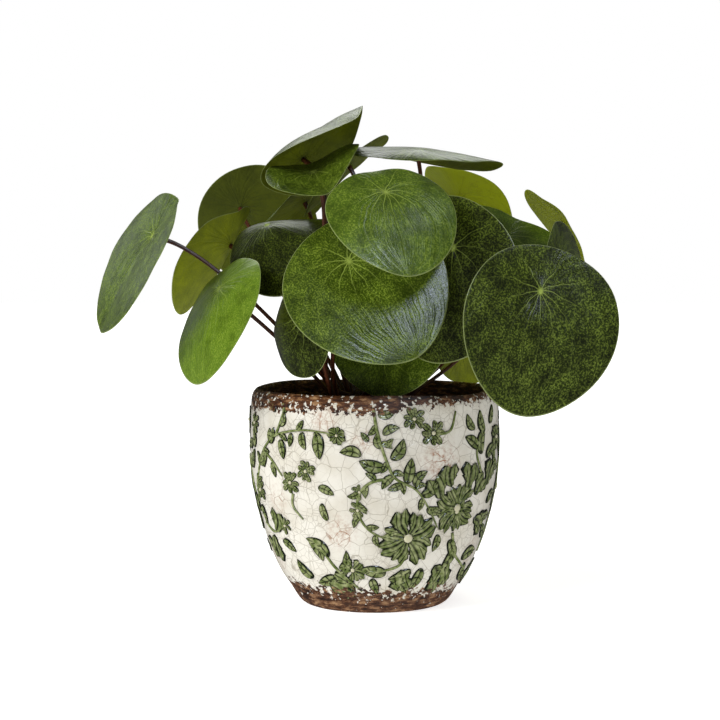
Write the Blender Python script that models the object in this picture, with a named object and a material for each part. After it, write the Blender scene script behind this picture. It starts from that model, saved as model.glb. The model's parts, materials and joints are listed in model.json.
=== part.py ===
"""Potted pilea: a round-leaved houseplant in a glazed pot.

The pot stands on the ground plane with the middle of its underside at the origin, +Z up.
Every leaf is a blade and its own petiole; the petioles spring from one short stem that
stands in the soil.  Lengths are written in millimetres and turned to metres when meshed.
"""
import math
from typing import NamedTuple

import bpy
from mathutils import Vector

MM = 0.001

# ---- driving sizes, millimetres -------------------------------------------------------
POT_HEIGHT = 122.0          # underside to the highest part of the lip
POT_RADIUS = 70.5           # outside, at the widest
POT_WALL = 6.0              # thickness of the side
POT_FLOOR = 9.0             # thickness of the bottom
LIP_WAVE = 0.7              # how far the hand-made lip rises and falls
SOIL_DROP = 30.0            # soil surface below the lip
CLEARANCE = 0.3             # gap between parts that touch
PLANT_SCALE = 1.0           # whole plant against the leaf table below
STEM_OFFSET = -9.0          # stem, along X from the pot's middle
STEM_HEIGHT = 28.0
STEM_RADIUS_LOW = 4.6
STEM_RADIUS_TOP = 3.2
PETIOLE_RADIUS = 1.15
BLADE_THICKNESS = 0.8

# ---- derived --------------------------------------------------------------------------
SOIL_LEVEL = POT_HEIGHT - SOIL_DROP
CROWN = Vector((STEM_OFFSET, 0.0, SOIL_LEVEL))   # where the stem meets the soil

# ---- shape ratios ---------------------------------------------------------------------
# Outside of the pot from foot to lip: share of the height, share of the radius.
POT_PROFILE = (
    (0.000, 0.570), (0.012, 0.600), (0.036, 0.632), (0.070, 0.668), (0.145, 0.753),
    (0.220, 0.817), (0.335, 0.887), (0.450, 0.940), (0.560, 0.980), (0.670, 0.997),
    (0.750, 1.000), (0.840, 0.999), (0.920, 0.996), (0.960, 0.989), (0.985, 0.975),
)
LIP_CREST = 0.950           # radius of the lip's highest line, share of the pot radius
LIP_FALL = (0.012, 0.40)    # inside shoulder of the lip: share of height, share of wall
POT_SIDES = 56
WAVE_START = 0.9            # the lip's wave fades in from this share of the height
LIP_WAVES = ((0.6, 3, 0.8), (0.4, 5, 2.1))   # share of LIP_WAVE, waves round the lip, turn
INSIDE_START = 2.0          # lowest side ring inside stands this far above the floor
INSIDE_END = 0.93           # highest one, share of the height
SOIL_MOUND = 1.5            # rise of the soil towards the stem, millimetres
MOUND_SLOPE = (0.6, 0.5)    # middle of the rise: share of the radius, share of the mound
MOUND_MARGIN = 4.0          # flat soil left round the stem, millimetres

STEM_SIDES = 12
STEM_SHOULDER = 0.93        # the stem's top rounds off from this share of its height
STEM_TAPER = 0.6            # radius of the rounded top, share of the stem's
STEM_CROWN = 1.0            # rise of the rounded top, millimetres

PETIOLE_SHARE = 0.30        # petiole joins this far from the base, share of the length
OUTLINE_EGG = 0.06          # base half a little wider than the apex half
OUTLINE_TIP = 0.03          # small point at the apex
FOLD_ROUND = 0.12           # softness of the fold along the midrib, share of half length
BLADE_RINGS = (0.08, 0.40, 0.72, 1.0)
BLADE_SIDES = 24
PETIOLE_STEPS = 9
PETIOLE_SIDES = 6
PETIOLE_BASE_SWELL = 1.25   # petiole is thicker where it leaves the stem
PETIOLE_BASE_FADE = 6       # power by which that swelling dies away
PETIOLE_CUP_SWELL = 1.35    # and where it meets the blade
PETIOLE_CUP_FADE = 12
TERRACOTTA = (0.55, 0.50, 0.42)
LEAF_GREEN = (0.05, 0.12, 0.03)
PETIOLE_BROWN = (0.10, 0.04, 0.03)
SOIL_BROWN = (0.05, 0.03, 0.02)


class Leaf(NamedTuple):
    """One leaf of the plant; lengths in millimetres, angles in degrees."""

    joint: tuple    # where the petiole meets the blade, from the crown: x, y, z
    facing: tuple   # of the upper side: azimuth from -Y towards +X, elevation, apex turn
    length: float   # base edge to apex
    width: float    # share of the length
    form: tuple     # fold (degrees), dome, droop of the tip, twist
    leave: tuple    # at the stem: height, turn (degrees), rise, reach
    arrive: tuple   # at the blade: lead below it, sideways bow, lift


LEAVES = (
    # front, above the middle
    Leaf((14, -105, 137), (10, 45, 10), 67, 1.02, (5, 13, 2, -3), (21, 45, 140, 6), (60, -20, 40)),
    # front middle, the broad one
    Leaf((-5, -83, 102), (-5, 25, 35), 89, 0.98, (11, 8, 1, -5), (11, -30, 25, 45), (12, 0, 0)),
    # front right, the largest
    Leaf((93, -104, 86), (20, 10, -5), 89, 0.98, (7, 3, 13, 2), (12, 0, 25, 20), (22, 0, 0)),
    # behind the two middle ones
    Leaf((49, -84, 109), (-35, 5, -25), 91, 0.94, (-8, 8, 6, 5), (16, 10, 8, 6), (22, -40, 0)),
    # low in front, over the rim
    Leaf((14, -40, 53), (-35, 15, 165), 89, 0.96, (10, 6, 6, 1), (22, -10, 8, 20), (12, 0, 0)),
    # low, left of the middle
    Leaf((-30, -76, 72), (-50, 5, -80), 66, 0.94, (-17, 8, 9, 2), (7, 0, 4, 45), (15, 0, 0)),
    # left front, hanging
    Leaf((-78, -20, 86), (-60, 35, 20), 79, 0.92, (-5, 6, 8, 1), (12, 0, 25, 20), (50, 0, 0)),
    # far left
    Leaf((-117, 0, 116), (-65, 30, -20), 90, 1.08, (11, 11, -5, -1), (18, 0, 25, 20), (40, 0, 15)),
    # left, behind the middle one
    Leaf((-52, 4, 122), (-45, 60, 80), 77, 0.96, (-21, 10, 7, 9), (24, -10, 100, 30), (40, 0, 0)),
    # upper left, tilted forward
    Leaf((-24, -60, 149), (-40, 65, 50), 58, 1.00, (26, 6, -5, 5), (25, -45, 4, 45), (40, -20, 10)),
    # top left, folded up
    Leaf((-31, -26, 158), (-135, 30, 160), 68, 1.04, (17, 27, 15, 8), (17, 0, 4, 45), (50, 0, 15)),
    # top right, nearly level
    Leaf((32, -46, 162), (15, 80, 150), 86, 1.02, (-3, 4, 12, 3), (25, 60, 100, 45), (8, -10, 7)),
    # right, behind the largest
    Leaf((83, 4, 115), (20, 45, -30), 80, 0.96, (14, 6, 5, 1), (12, 0, 25, 45), (12, 0, 0)),
    # right front, narrow view
    Leaf((108, -60, 94), (60, 5, 95), 60, 0.96, (-1, 3, 1, -2), (4, 0, 15, 20), (22, 0, 0)),
    # far right, folded
    Leaf((120, 27, 123), (95, 35, 75), 67, 0.96, (-13, -1, 3, 1), (16, 0, 25, 45), (12, 0, 0)),
    # left, cupped upward
    Leaf((-77, 48, 111), (-110, 30, -20), 80, 0.98, (18, -3, -8, -8), (16, 0, 25, 20), (50, 0, 0)),
    # back left, high
    Leaf((-74, 106, 134), (170, 20, -45), 82, 0.96, (3, 6, 7, -1), (12, 0, 50, 30), (12, 0, 0)),
    # back left, between its neighbours
    Leaf((-33, 71, 137), (-125, 50, 90), 60, 0.96, (4, 6, 6, -1), (22, 0, 35, 20), (12, 0, 0)),
    # top, behind the middle
    Leaf((-6, 45, 158), (-100, 50, 70), 71, 0.96, (-5, 4, 2, 4), (25, -10, 15, 20), (22, 0, 0)),
    # back middle, high
    Leaf((11, 66, 127), (-180, 30, 0), 66, 0.96, (0, 6, 6, 0), (7, -10, 8, 45), (50, 0, 0)),
    # back right, high
    Leaf((59, 49, 139), (125, 35, 15), 80, 0.98, (20, 9, 2, 8), (25, 0, 15, 45), (8, 0, 0)),
    # back right, low over the rim
    Leaf((63, 60, 48), (-140, 15, -160), 70, 0.96, (-8, 7, 5, 0), (10, 0, 4, 20), (8, 0, 0)),
    # back left, low
    Leaf((-17, 93, 102), (-165, 35, 10), 62, 0.96, (0, 6, 6, 0), (16, 0, 50, 30), (22, -30, 10)),
    # back middle
    Leaf((31, 118, 113), (175, 45, -10), 74, 0.96, (0, 7, 6, 0), (18, -10, 35, 12), (40, 30, 5)),
    # back right
    Leaf((87, 81, 98), (140, 40, 10), 70, 0.96, (4, 6, 6, 0), (14, 0, 25, 20), (30, 0, 0)),
    # back, low
    Leaf((5, 70, 78), (-170, 30, 0), 62, 0.96, (0, 6, 6, 0), (12, 0, 25, 30), (40, 0, 0)),
)


def material(name, colour, roughness):
    """Return a plain surface of one colour."""
    mat = bpy.data.materials.new(name)
    mat.use_nodes = True
    shader = mat.node_tree.nodes["Principled BSDF"]
    shader.inputs["Base Color"].default_value = (*colour, 1.0)
    shader.inputs["Roughness"].default_value = roughness
    return mat


def solid(name, points, faces, mat):
    """Make one object from points in millimetres."""
    mesh = bpy.data.meshes.new(name)
    mesh.from_pydata([Vector(p) * MM for p in points], [], faces)
    mesh.materials.append(mat)
    for face in mesh.polygons:
        face.use_smooth = True
    obj = bpy.data.objects.new(name, mesh)
    bpy.context.scene.collection.objects.link(obj)
    return obj


def skin(rings, low, high):
    """Join rings of equal count, closing each end on its own middle point."""
    count = len(rings[0])
    points = [low] + [p for ring in rings for p in ring] + [high]
    last = len(points) - 1
    faces = []
    for i in range(count):
        j = (i + 1) % count
        faces.append((0, 1 + j, 1 + i))
        for k in range(len(rings) - 1):
            a, b = 1 + k * count + i, 1 + k * count + j
            faces.append((a, b, b + count, a + count))
        top = last - count
        faces.append((top + i, top + j, last))
    return points, faces


# ---- pot and soil ---------------------------------------------------------------------
def pot_outside(height):
    """Outside radius of the pot at a height, both in millimetres."""
    share = height / POT_HEIGHT
    for (h0, r0), (h1, r1) in zip(POT_PROFILE, POT_PROFILE[1:]):
        if share <= h1:
            return POT_RADIUS * (r0 + (r1 - r0) * (share - h0) / (h1 - h0))
    return POT_RADIUS * POT_PROFILE[-1][1]


def lip_lift(angle, height):
    """How far the lip stands above or below its mean height."""
    fade = max(0.0, height / POT_HEIGHT - WAVE_START) / (1.0 - WAVE_START)
    waves = sum(share * math.sin(count * angle + turn) for share, count, turn in LIP_WAVES)
    return LIP_WAVE * fade * waves


def turned(profile, waved):
    """Rings of a turned shape from (radius, height) pairs."""
    rings = []
    for radius, height in profile:
        ring = []
        for i in range(POT_SIDES):
            angle = 2 * math.pi * i / POT_SIDES
            lift = lip_lift(angle, height) if waved else 0.0
            ring.append((radius * math.cos(angle), radius * math.sin(angle), height + lift))
        rings.append(ring)
    return rings


def inside_heights():
    """Heights of the inner wall's rings, lip first, all shared with the soil."""
    middle = [share * POT_HEIGHT for share, _ in POT_PROFILE
              if POT_FLOOR + INSIDE_START < share * POT_HEIGHT < INSIDE_END * POT_HEIGHT]
    return sorted(middle + [SOIL_LEVEL, POT_FLOOR], reverse=True)


def make_pot():
    """The pot: one turned shell with a rounded, slightly wavy lip."""
    outer = [(POT_RADIUS * r, POT_HEIGHT * h) for h, r in POT_PROFILE]
    crest = (POT_RADIUS * LIP_CREST, POT_HEIGHT)
    fall, share = LIP_FALL
    shoulder = (crest[0] - POT_WALL * share, POT_HEIGHT * (1.0 - fall))
    inner = [(pot_outside(h) - POT_WALL, h) for h in inside_heights()]
    rings = turned(outer + [crest, shoulder] + inner, True)
    points, faces = skin(rings, (0.0, 0.0, 0.0), (0.0, 0.0, POT_FLOOR))
    solid("pot", points, faces, material("glazed pot", TERRACOTTA, 0.3))


def make_soil():
    """Soil filling the pot up to its level, rising a little towards the stem."""
    heights = sorted(h for h in inside_heights() if h <= SOIL_LEVEL)
    heights[0] += CLEARANCE
    profile = [(pot_outside(h) - POT_WALL - CLEARANCE, h) for h in heights]
    edge = profile[-1][0]
    across, rise = MOUND_SLOPE
    summit = abs(STEM_OFFSET) + STEM_RADIUS_LOW + MOUND_MARGIN
    profile += [(across * edge, SOIL_LEVEL + rise * SOIL_MOUND),
                (summit, SOIL_LEVEL + SOIL_MOUND)]
    points, faces = skin(turned(profile, False), (0.0, 0.0, heights[0]),
                         (0.0, 0.0, SOIL_LEVEL + SOIL_MOUND))
    solid("soil", points, faces, material("potting soil", SOIL_BROWN, 0.95))


# ---- plant ----------------------------------------------------------------------------
def stem_radius(height):
    """Radius of the stem at a height above the crown."""
    share = height / STEM_HEIGHT
    return STEM_RADIUS_LOW + (STEM_RADIUS_TOP - STEM_RADIUS_LOW) * share


def make_stem():
    """Short upright stem that carries all the petioles."""
    foot = SOIL_MOUND + CLEARANCE
    rings = []
    for share, taper in ((0.0, 1.0), (STEM_SHOULDER, 1.0), (1.0, STEM_TAPER)):
        height = foot + (STEM_HEIGHT - foot) * share
        radius = stem_radius(height) * taper
        angles = [2 * math.pi * i / STEM_SIDES for i in range(STEM_SIDES)]
        rings.append([CROWN + Vector((radius * math.cos(a), radius * math.sin(a), height))
                      for a in angles])
    points, faces = skin(rings, CROWN + Vector((0, 0, foot)),
                         CROWN + Vector((0, 0, STEM_HEIGHT + STEM_CROWN)))
    solid("stem", points, faces, material("woody stem", PETIOLE_BROWN, 0.7))


def leaf_axes(leaf):
    """Unit vectors of a blade: towards the apex, across it, out of the upper side."""
    azimuth, elevation, turn = (math.radians(a) for a in leaf.facing)
    level = Vector((math.sin(azimuth), -math.cos(azimuth), 0.0))
    up = Vector((0.0, 0.0, 1.0))
    normal = math.cos(elevation) * level + math.sin(elevation) * up
    downhill = math.sin(elevation) * level - math.cos(elevation) * up
    apex = math.cos(turn) * downhill + math.sin(turn) * normal.cross(downhill)
    return apex, normal.cross(apex), normal


def blade_height(leaf, x, y):
    """Height of the blade's middle surface above its flat plane, and the folded width."""
    fold, dome, droop, twist = leaf.form
    half = leaf.length / 2.0
    height = -dome * (x * x + y * y) / (half * half) / 2.0
    reach = (x / (1.4 * half)) ** 2 if x > 0.0 else 0.25 * (x / (0.6 * half)) ** 2
    height -= droop * reach
    height += twist * x * y / (half * half)
    soft = FOLD_ROUND * half
    wing = math.sqrt(y * y + soft * soft) - soft
    height += math.sin(math.radians(fold)) * wing
    return height, y * math.cos(math.radians(fold))


def outline(leaf, angle):
    """Margin of the blade around the petiole, in its own flat plane."""
    half = leaf.length / 2.0
    cos, sin = math.cos(angle), math.sin(angle)
    x = half * (1.0 - 2.0 * PETIOLE_SHARE) + half * cos * (1.0 - OUTLINE_TIP)
    x += OUTLINE_TIP * half * max(0.0, cos) ** 8
    return x, half * leaf.width * sin * (1.0 - OUTLINE_EGG * cos)


def joint(leaf):
    """Where the leaf's petiole meets its blade."""
    return CROWN + PLANT_SCALE * Vector(leaf.joint)


def make_blade(leaf, name, mat):
    """A thin, nearly round blade: two parallel skins closed round the margin."""
    apex, across, normal = leaf_axes(leaf)
    middle = joint(leaf)

    def at(x, y, side):
        """Point of one skin of the blade, side -1 under and 1 above."""
        height, folded = blade_height(leaf, x, y)
        height = height * PLANT_SCALE + side * BLADE_THICKNESS / 2.0
        return middle + apex * x * PLANT_SCALE + across * folded * PLANT_SCALE + normal * height

    rings = []
    for side, shares in ((-1.0, BLADE_RINGS), (1.0, BLADE_RINGS[::-1])):
        for share in shares:
            ring = []
            for i in range(BLADE_SIDES):
                x, y = outline(leaf, 2 * math.pi * i / BLADE_SIDES)
                ring.append(at(share * x, share * y, side))
            rings.append(ring)
    points, faces = skin(rings, at(0.0, 0.0, -1.0), at(0.0, 0.0, 1.0))
    solid(name, points, faces, mat)


def petiole_path(leaf):
    """The four control points of a petiole, from the stem to the underside of its blade."""
    height, turn, rise, reach = leaf.leave
    lead, bow, lift = leaf.arrive
    towards = math.atan2(leaf.joint[1], leaf.joint[0]) + math.radians(turn)
    outward = Vector((math.cos(towards), math.sin(towards), 0.0))
    up = Vector((0.0, 0.0, 1.0))
    first = (outward * reach + up * rise) * PLANT_SCALE
    thick = PETIOLE_RADIUS * PETIOLE_BASE_SWELL
    stand_off = stem_radius(height) + CLEARANCE + thick * first.normalized().z
    start = CROWN + up * height + outward * stand_off
    normal = leaf_axes(leaf)[2]
    away = (outward.cross(up) * bow + up * lift - normal * lead) * PLANT_SCALE
    slant = math.sqrt(max(0.0, 1.0 - away.normalized().dot(normal) ** 2))
    below = BLADE_THICKNESS / 2.0 + CLEARANCE + PETIOLE_RADIUS * PETIOLE_CUP_SWELL * slant
    end = joint(leaf) - normal * below
    return start, start + first, end + away, end


def bezier(path, share):
    """Point and direction on a cubic curve."""
    a, b, c, d = path
    rest = 1.0 - share
    point = a * rest ** 3 + b * 3 * rest ** 2 * share + c * 3 * rest * share ** 2 + d * share ** 3
    along = (b - a) * rest ** 2 + (c - b) * 2 * rest * share + (d - c) * share ** 2
    return point, along.normalized()


def make_petiole(leaf, name, mat):
    """A long thin stalk, swollen a little at both ends."""
    path = petiole_path(leaf)
    rings = []
    side = None
    for step in range(PETIOLE_STEPS + 1):
        share = step / PETIOLE_STEPS
        point, along = bezier(path, share)
        if side is None:
            side = along.orthogonal().normalized()
        side = (side - along * side.dot(along)).normalized()
        other = along.cross(side)
        swell = 1.0 + (PETIOLE_BASE_SWELL - 1.0) * (1.0 - share) ** PETIOLE_BASE_FADE
        swell += (PETIOLE_CUP_SWELL - 1.0) * share ** PETIOLE_CUP_FADE
        radius = PETIOLE_RADIUS * swell
        rings.append([point + side * radius * math.cos(2 * math.pi * i / PETIOLE_SIDES)
                      + other * radius * math.sin(2 * math.pi * i / PETIOLE_SIDES)
                      for i in range(PETIOLE_SIDES)])
    points, faces = skin(rings, path[0], path[3])
    solid(name, points, faces, mat)


def main():
    """Clear the scene and build every part."""
    for obj in list(bpy.data.objects):
        bpy.data.objects.remove(obj, do_unlink=True)
    make_pot()
    make_soil()
    make_stem()
    for number, leaf in enumerate(LEAVES, 1):
        make_blade(leaf, f"blade_{number:02d}", material(f"leaf {number:02d}", LEAF_GREEN, 0.4))
        make_petiole(leaf, f"petiole_{number:02d}",
                     material(f"petiole {number:02d}", PETIOLE_BROWN, 0.5))


main()
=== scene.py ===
"""Looks of a potted pilea: round waxy leaves in a crackle-glazed pot with green relief flowers.

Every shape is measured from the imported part.  Lengths are in millimetres and are turned to
metres when a mesh is made.  The pot stands on Z = 0, its axis on the Z axis; an azimuth is
an angle round that axis, in degrees from -Y towards +X.
"""

import json
import logging
import math
from dataclasses import dataclass
from enum import Enum
from typing import Any, NamedTuple

import bmesh
import bpy
import numpy as np
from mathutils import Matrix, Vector, noise

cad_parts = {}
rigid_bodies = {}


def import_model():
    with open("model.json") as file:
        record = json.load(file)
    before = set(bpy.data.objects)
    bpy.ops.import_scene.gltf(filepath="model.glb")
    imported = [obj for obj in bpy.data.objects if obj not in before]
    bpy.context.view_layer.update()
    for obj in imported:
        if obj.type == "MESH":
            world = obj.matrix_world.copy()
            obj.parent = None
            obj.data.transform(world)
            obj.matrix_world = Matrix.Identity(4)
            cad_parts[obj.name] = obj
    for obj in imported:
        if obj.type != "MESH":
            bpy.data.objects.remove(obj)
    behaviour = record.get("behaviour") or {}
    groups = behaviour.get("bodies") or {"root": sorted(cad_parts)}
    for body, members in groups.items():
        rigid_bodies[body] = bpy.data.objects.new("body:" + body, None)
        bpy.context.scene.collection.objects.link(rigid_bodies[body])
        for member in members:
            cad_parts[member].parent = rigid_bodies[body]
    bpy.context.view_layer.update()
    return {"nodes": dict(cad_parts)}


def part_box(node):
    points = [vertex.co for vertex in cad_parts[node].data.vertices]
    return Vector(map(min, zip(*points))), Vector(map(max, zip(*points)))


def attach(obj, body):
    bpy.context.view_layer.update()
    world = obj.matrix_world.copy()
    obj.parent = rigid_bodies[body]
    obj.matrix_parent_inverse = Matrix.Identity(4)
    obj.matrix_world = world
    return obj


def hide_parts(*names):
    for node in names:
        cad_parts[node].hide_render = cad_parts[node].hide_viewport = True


MM = 0.001
BODY = "root"
WELD = 0.01            # millimetres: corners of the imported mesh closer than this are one
LOG = logging.getLogger("potted pilea")
Array = np.ndarray
Nodes = dict[str, bpy.types.Object]
Socket = bpy.types.NodeSocket
Material = bpy.types.Material


# ---- numbers and curves ---------------------------------------------------------------
def paint(code: str) -> tuple[float, float, float, float]:
    """Turn an sRGB hex colour into linear light.

    Args:
        code: six hex digits, such as "e6e1d6".

    Returns:
        Red, green, blue and alpha for a shader socket.
    """
    parts = [int(code[i:i + 2], 16) / 255.0 for i in (0, 2, 4)]
    linear = [p / 12.92 if p <= 0.04045 else ((p + 0.055) / 1.055) ** 2.4 for p in parts]
    return linear[0], linear[1], linear[2], 1.0


def spline(knots: Array, values: Array, wanted: Array) -> Array:
    """Read a smooth curve that runs through every value.

    Args:
        knots: where each value stands, rising.
        values: one value or array of values for each knot.
        wanted: where the curve is read.

    Returns:
        The curve's values, one for each wanted place.
    """
    slopes = np.gradient(values, knots, axis=0)
    spot = np.clip(np.searchsorted(knots, wanted, side="right") - 1, 0, len(knots) - 2)
    column = (-1,) + (1,) * (values.ndim - 1)
    width = (knots[spot + 1] - knots[spot]).reshape(column)
    part = (wanted - knots[spot]).reshape(column) / width
    rest = 1.0 - part
    return (values[spot] * (1.0 + 2.0 * part) * rest ** 2
            + slopes[spot] * width * part * rest ** 2
            + values[spot + 1] * part ** 2 * (3.0 - 2.0 * part)
            - slopes[spot + 1] * width * part ** 2 * rest)


def rounded(rings: Array, times: int) -> Array:
    """Put smooth in-between points into closed rings.

    Args:
        rings: rings, points round each ring, xyz.
        times: how many times as many points.

    Returns:
        The same rings with the added points.
    """
    count = rings.shape[1]
    pad = 3
    closed = np.concatenate([rings[:, -pad:], rings, rings[:, :pad]], axis=1)
    wanted = np.arange(count * times) / times
    knots = np.arange(-pad, count + pad, dtype=float)
    return np.swapaxes(spline(knots, np.swapaxes(closed, 0, 1), wanted), 0, 1)


def circle(count: int) -> Array:
    """Return angles spread evenly round a turn, in radians."""
    return 2.0 * math.pi * np.arange(count) / count


def smooth_step(value: Array, low: float, high: float) -> Array:
    """Go softly from 0 at low to 1 at high."""
    part = np.clip((value - low) / (high - low), 0.0, 1.0)
    return part * part * (3.0 - 2.0 * part)


def ripple(points: Array, grain: float) -> Array:
    """Give each point a smooth random value from -1 to 1.

    Args:
        points: places in millimetres, xyz last.
        grain: size of one bump in millimetres.

    Returns:
        One value for each place.
    """
    flat = points.reshape(-1, 3) / grain
    return np.array([noise.noise(Vector(p)) for p in flat]).reshape(points.shape[:-1])


# ---- reading and making meshes --------------------------------------------------------
class CadSkin:
    """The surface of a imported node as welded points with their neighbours."""

    def __init__(self, node: bpy.types.Object) -> None:
        """Weld the node's triangles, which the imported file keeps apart."""
        work = bmesh.new()
        work.from_mesh(node.data)
        bmesh.ops.remove_doubles(work, verts=work.verts, dist=WELD * MM)
        work.verts.ensure_lookup_table()
        self.points: Array = np.array([v.co for v in work.verts]) / MM
        self.near = [{e.other_vert(v).index for e in v.link_edges} for v in work.verts]
        work.free()

    def peel(self, start: list[int]) -> list[list[int]]:
        """Walk over the surface ring by ring.

        Args:
            start: the points of the first ring.

        Returns:
            Point numbers, one list for each ring.
        """
        rings, seen = [list(start)], set(start)
        while rings[-1]:
            found = {n for p in rings[-1] for n in self.near[p]} - seen
            seen |= found
            rings.append(sorted(found))
        return rings[:-1]

    def poles(self) -> list[int]:
        """Return the two points where the most edges meet."""
        return sorted(range(len(self.near)), key=lambda i: -len(self.near[i]))[:2]

    def nearest(self, place: Array, count: int) -> list[int]:
        """Return the points nearest to a place."""
        gaps = np.linalg.norm(self.points - place, axis=1)
        return [int(i) for i in np.argsort(gaps)[:count]]


class Shape:
    """Points, faces and painted values of one piece while it is being built."""

    def __init__(self, *channels: str) -> None:
        """Start with nothing; channels name the values that the material reads."""
        self.points: list[Array] = []
        self.faces: list[tuple[int, ...]] = []
        self.values: dict[str, list[Array]] = {c: [] for c in channels}
        self.count = 0

    def skin(self, rings: Array, low: Array | None = None, high: Array | None = None,
             **values: Array) -> None:
        """Add a closed body from rings of equal count.

        Args:
            rings: rings, points round each ring, xyz; seen from the high end they turn
                anticlockwise.
            low: point that closes the first ring, its middle if none is given.
            high: point that closes the last ring, its middle if none is given.
            values: for each channel one xyz for every point: low, rings, high.
        """
        number, count = rings.shape[:2]
        low = rings[0].mean(axis=0) if low is None else low
        high = rings[-1].mean(axis=0) if high is None else high
        base = self.count
        last = base + number * count + 1
        self.points.append(np.vstack([low, rings.reshape(-1, 3), high]))
        for i in range(count):
            j = (i + 1) % count
            self.faces.append((base, base + 1 + j, base + 1 + i))
            for k in range(number - 1):
                a, b = base + 1 + k * count + i, base + 1 + k * count + j
                self.faces.append((a, b, b + count, a + count))
            self.faces.append((last - count + i, last - count + j, last))
        for name, kept in self.values.items():
            kept.append(values[name])
        self.count = last + 1

    def piece(self, name: str, material: Material, slot: str,
              *nodes: str) -> bpy.types.Object:
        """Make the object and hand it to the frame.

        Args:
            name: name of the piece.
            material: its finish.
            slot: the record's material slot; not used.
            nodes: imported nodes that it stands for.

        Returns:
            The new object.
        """
        mesh = bpy.data.meshes.new(name)
        mesh.from_pydata((np.vstack(self.points) * MM).tolist(), [], self.faces)
        for channel, kept in self.values.items():
            layer = mesh.attributes.new(channel, "FLOAT_VECTOR", "POINT")
            layer.data.foreach_set("vector", np.vstack(kept).astype(np.float32).ravel())
        mesh.polygons.foreach_set("use_smooth", [True] * len(mesh.polygons))
        mesh.materials.append(material)
        piece = bpy.data.objects.new(name, mesh)
        bpy.context.scene.collection.objects.link(piece)
        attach(piece, BODY)
        if nodes:
            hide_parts(*nodes)
        LOG.info("%s: %d faces", name, len(mesh.polygons))
        return piece


class Graph:
    """A node tree under construction, with one way of adding a node.

    Inputs by number: Math has its operands from 0; MapRange reads from 1 to 2 and gives
    from 3 to 4; a colour Mix lays 7 over 6.  A noise texture keeps near 0.5, so what is
    read of it mostly lies between 0.35 and 0.7.
    """

    def __init__(self, tree: bpy.types.NodeTree) -> None:
        """Work on this tree."""
        self.tree = tree

    def add(self, kind: str, inputs: dict[Any, Any], out: Any = 0,
            **settings: Any) -> Socket:
        """Add a node.

        Args:
            kind: node type without its prefix.
            inputs: input name or number, with a value or another node's output.
            out: which output is wanted.
            settings: the node's own settings.

        Returns:
            The wanted output.
        """
        node = self.tree.nodes.new("ShaderNode" + kind)
        for name, value in settings.items():
            setattr(node, name, value)
        self.join(node, inputs)
        return node.outputs[out]

    def join(self, node: bpy.types.Node, inputs: dict[Any, Any]) -> None:
        """Fill a node's inputs with values or with other nodes' outputs."""
        for key, value in inputs.items():
            if isinstance(value, Socket):
                self.tree.links.new(value, node.inputs[key])
            else:
                node.inputs[key].default_value = value


class Recipe(Graph):
    """A material under construction."""

    def __init__(self, name: str) -> None:
        """Start a material with its surface shader."""
        self.material = bpy.data.materials.new(name)
        self.material.use_nodes = True
        super().__init__(self.material.node_tree)

    def finish(self, inputs: dict[str, Any]) -> Material:
        """Fill the surface shader and return the material."""
        self.join(self.tree.nodes["Principled BSDF"], inputs)
        return self.material


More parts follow.
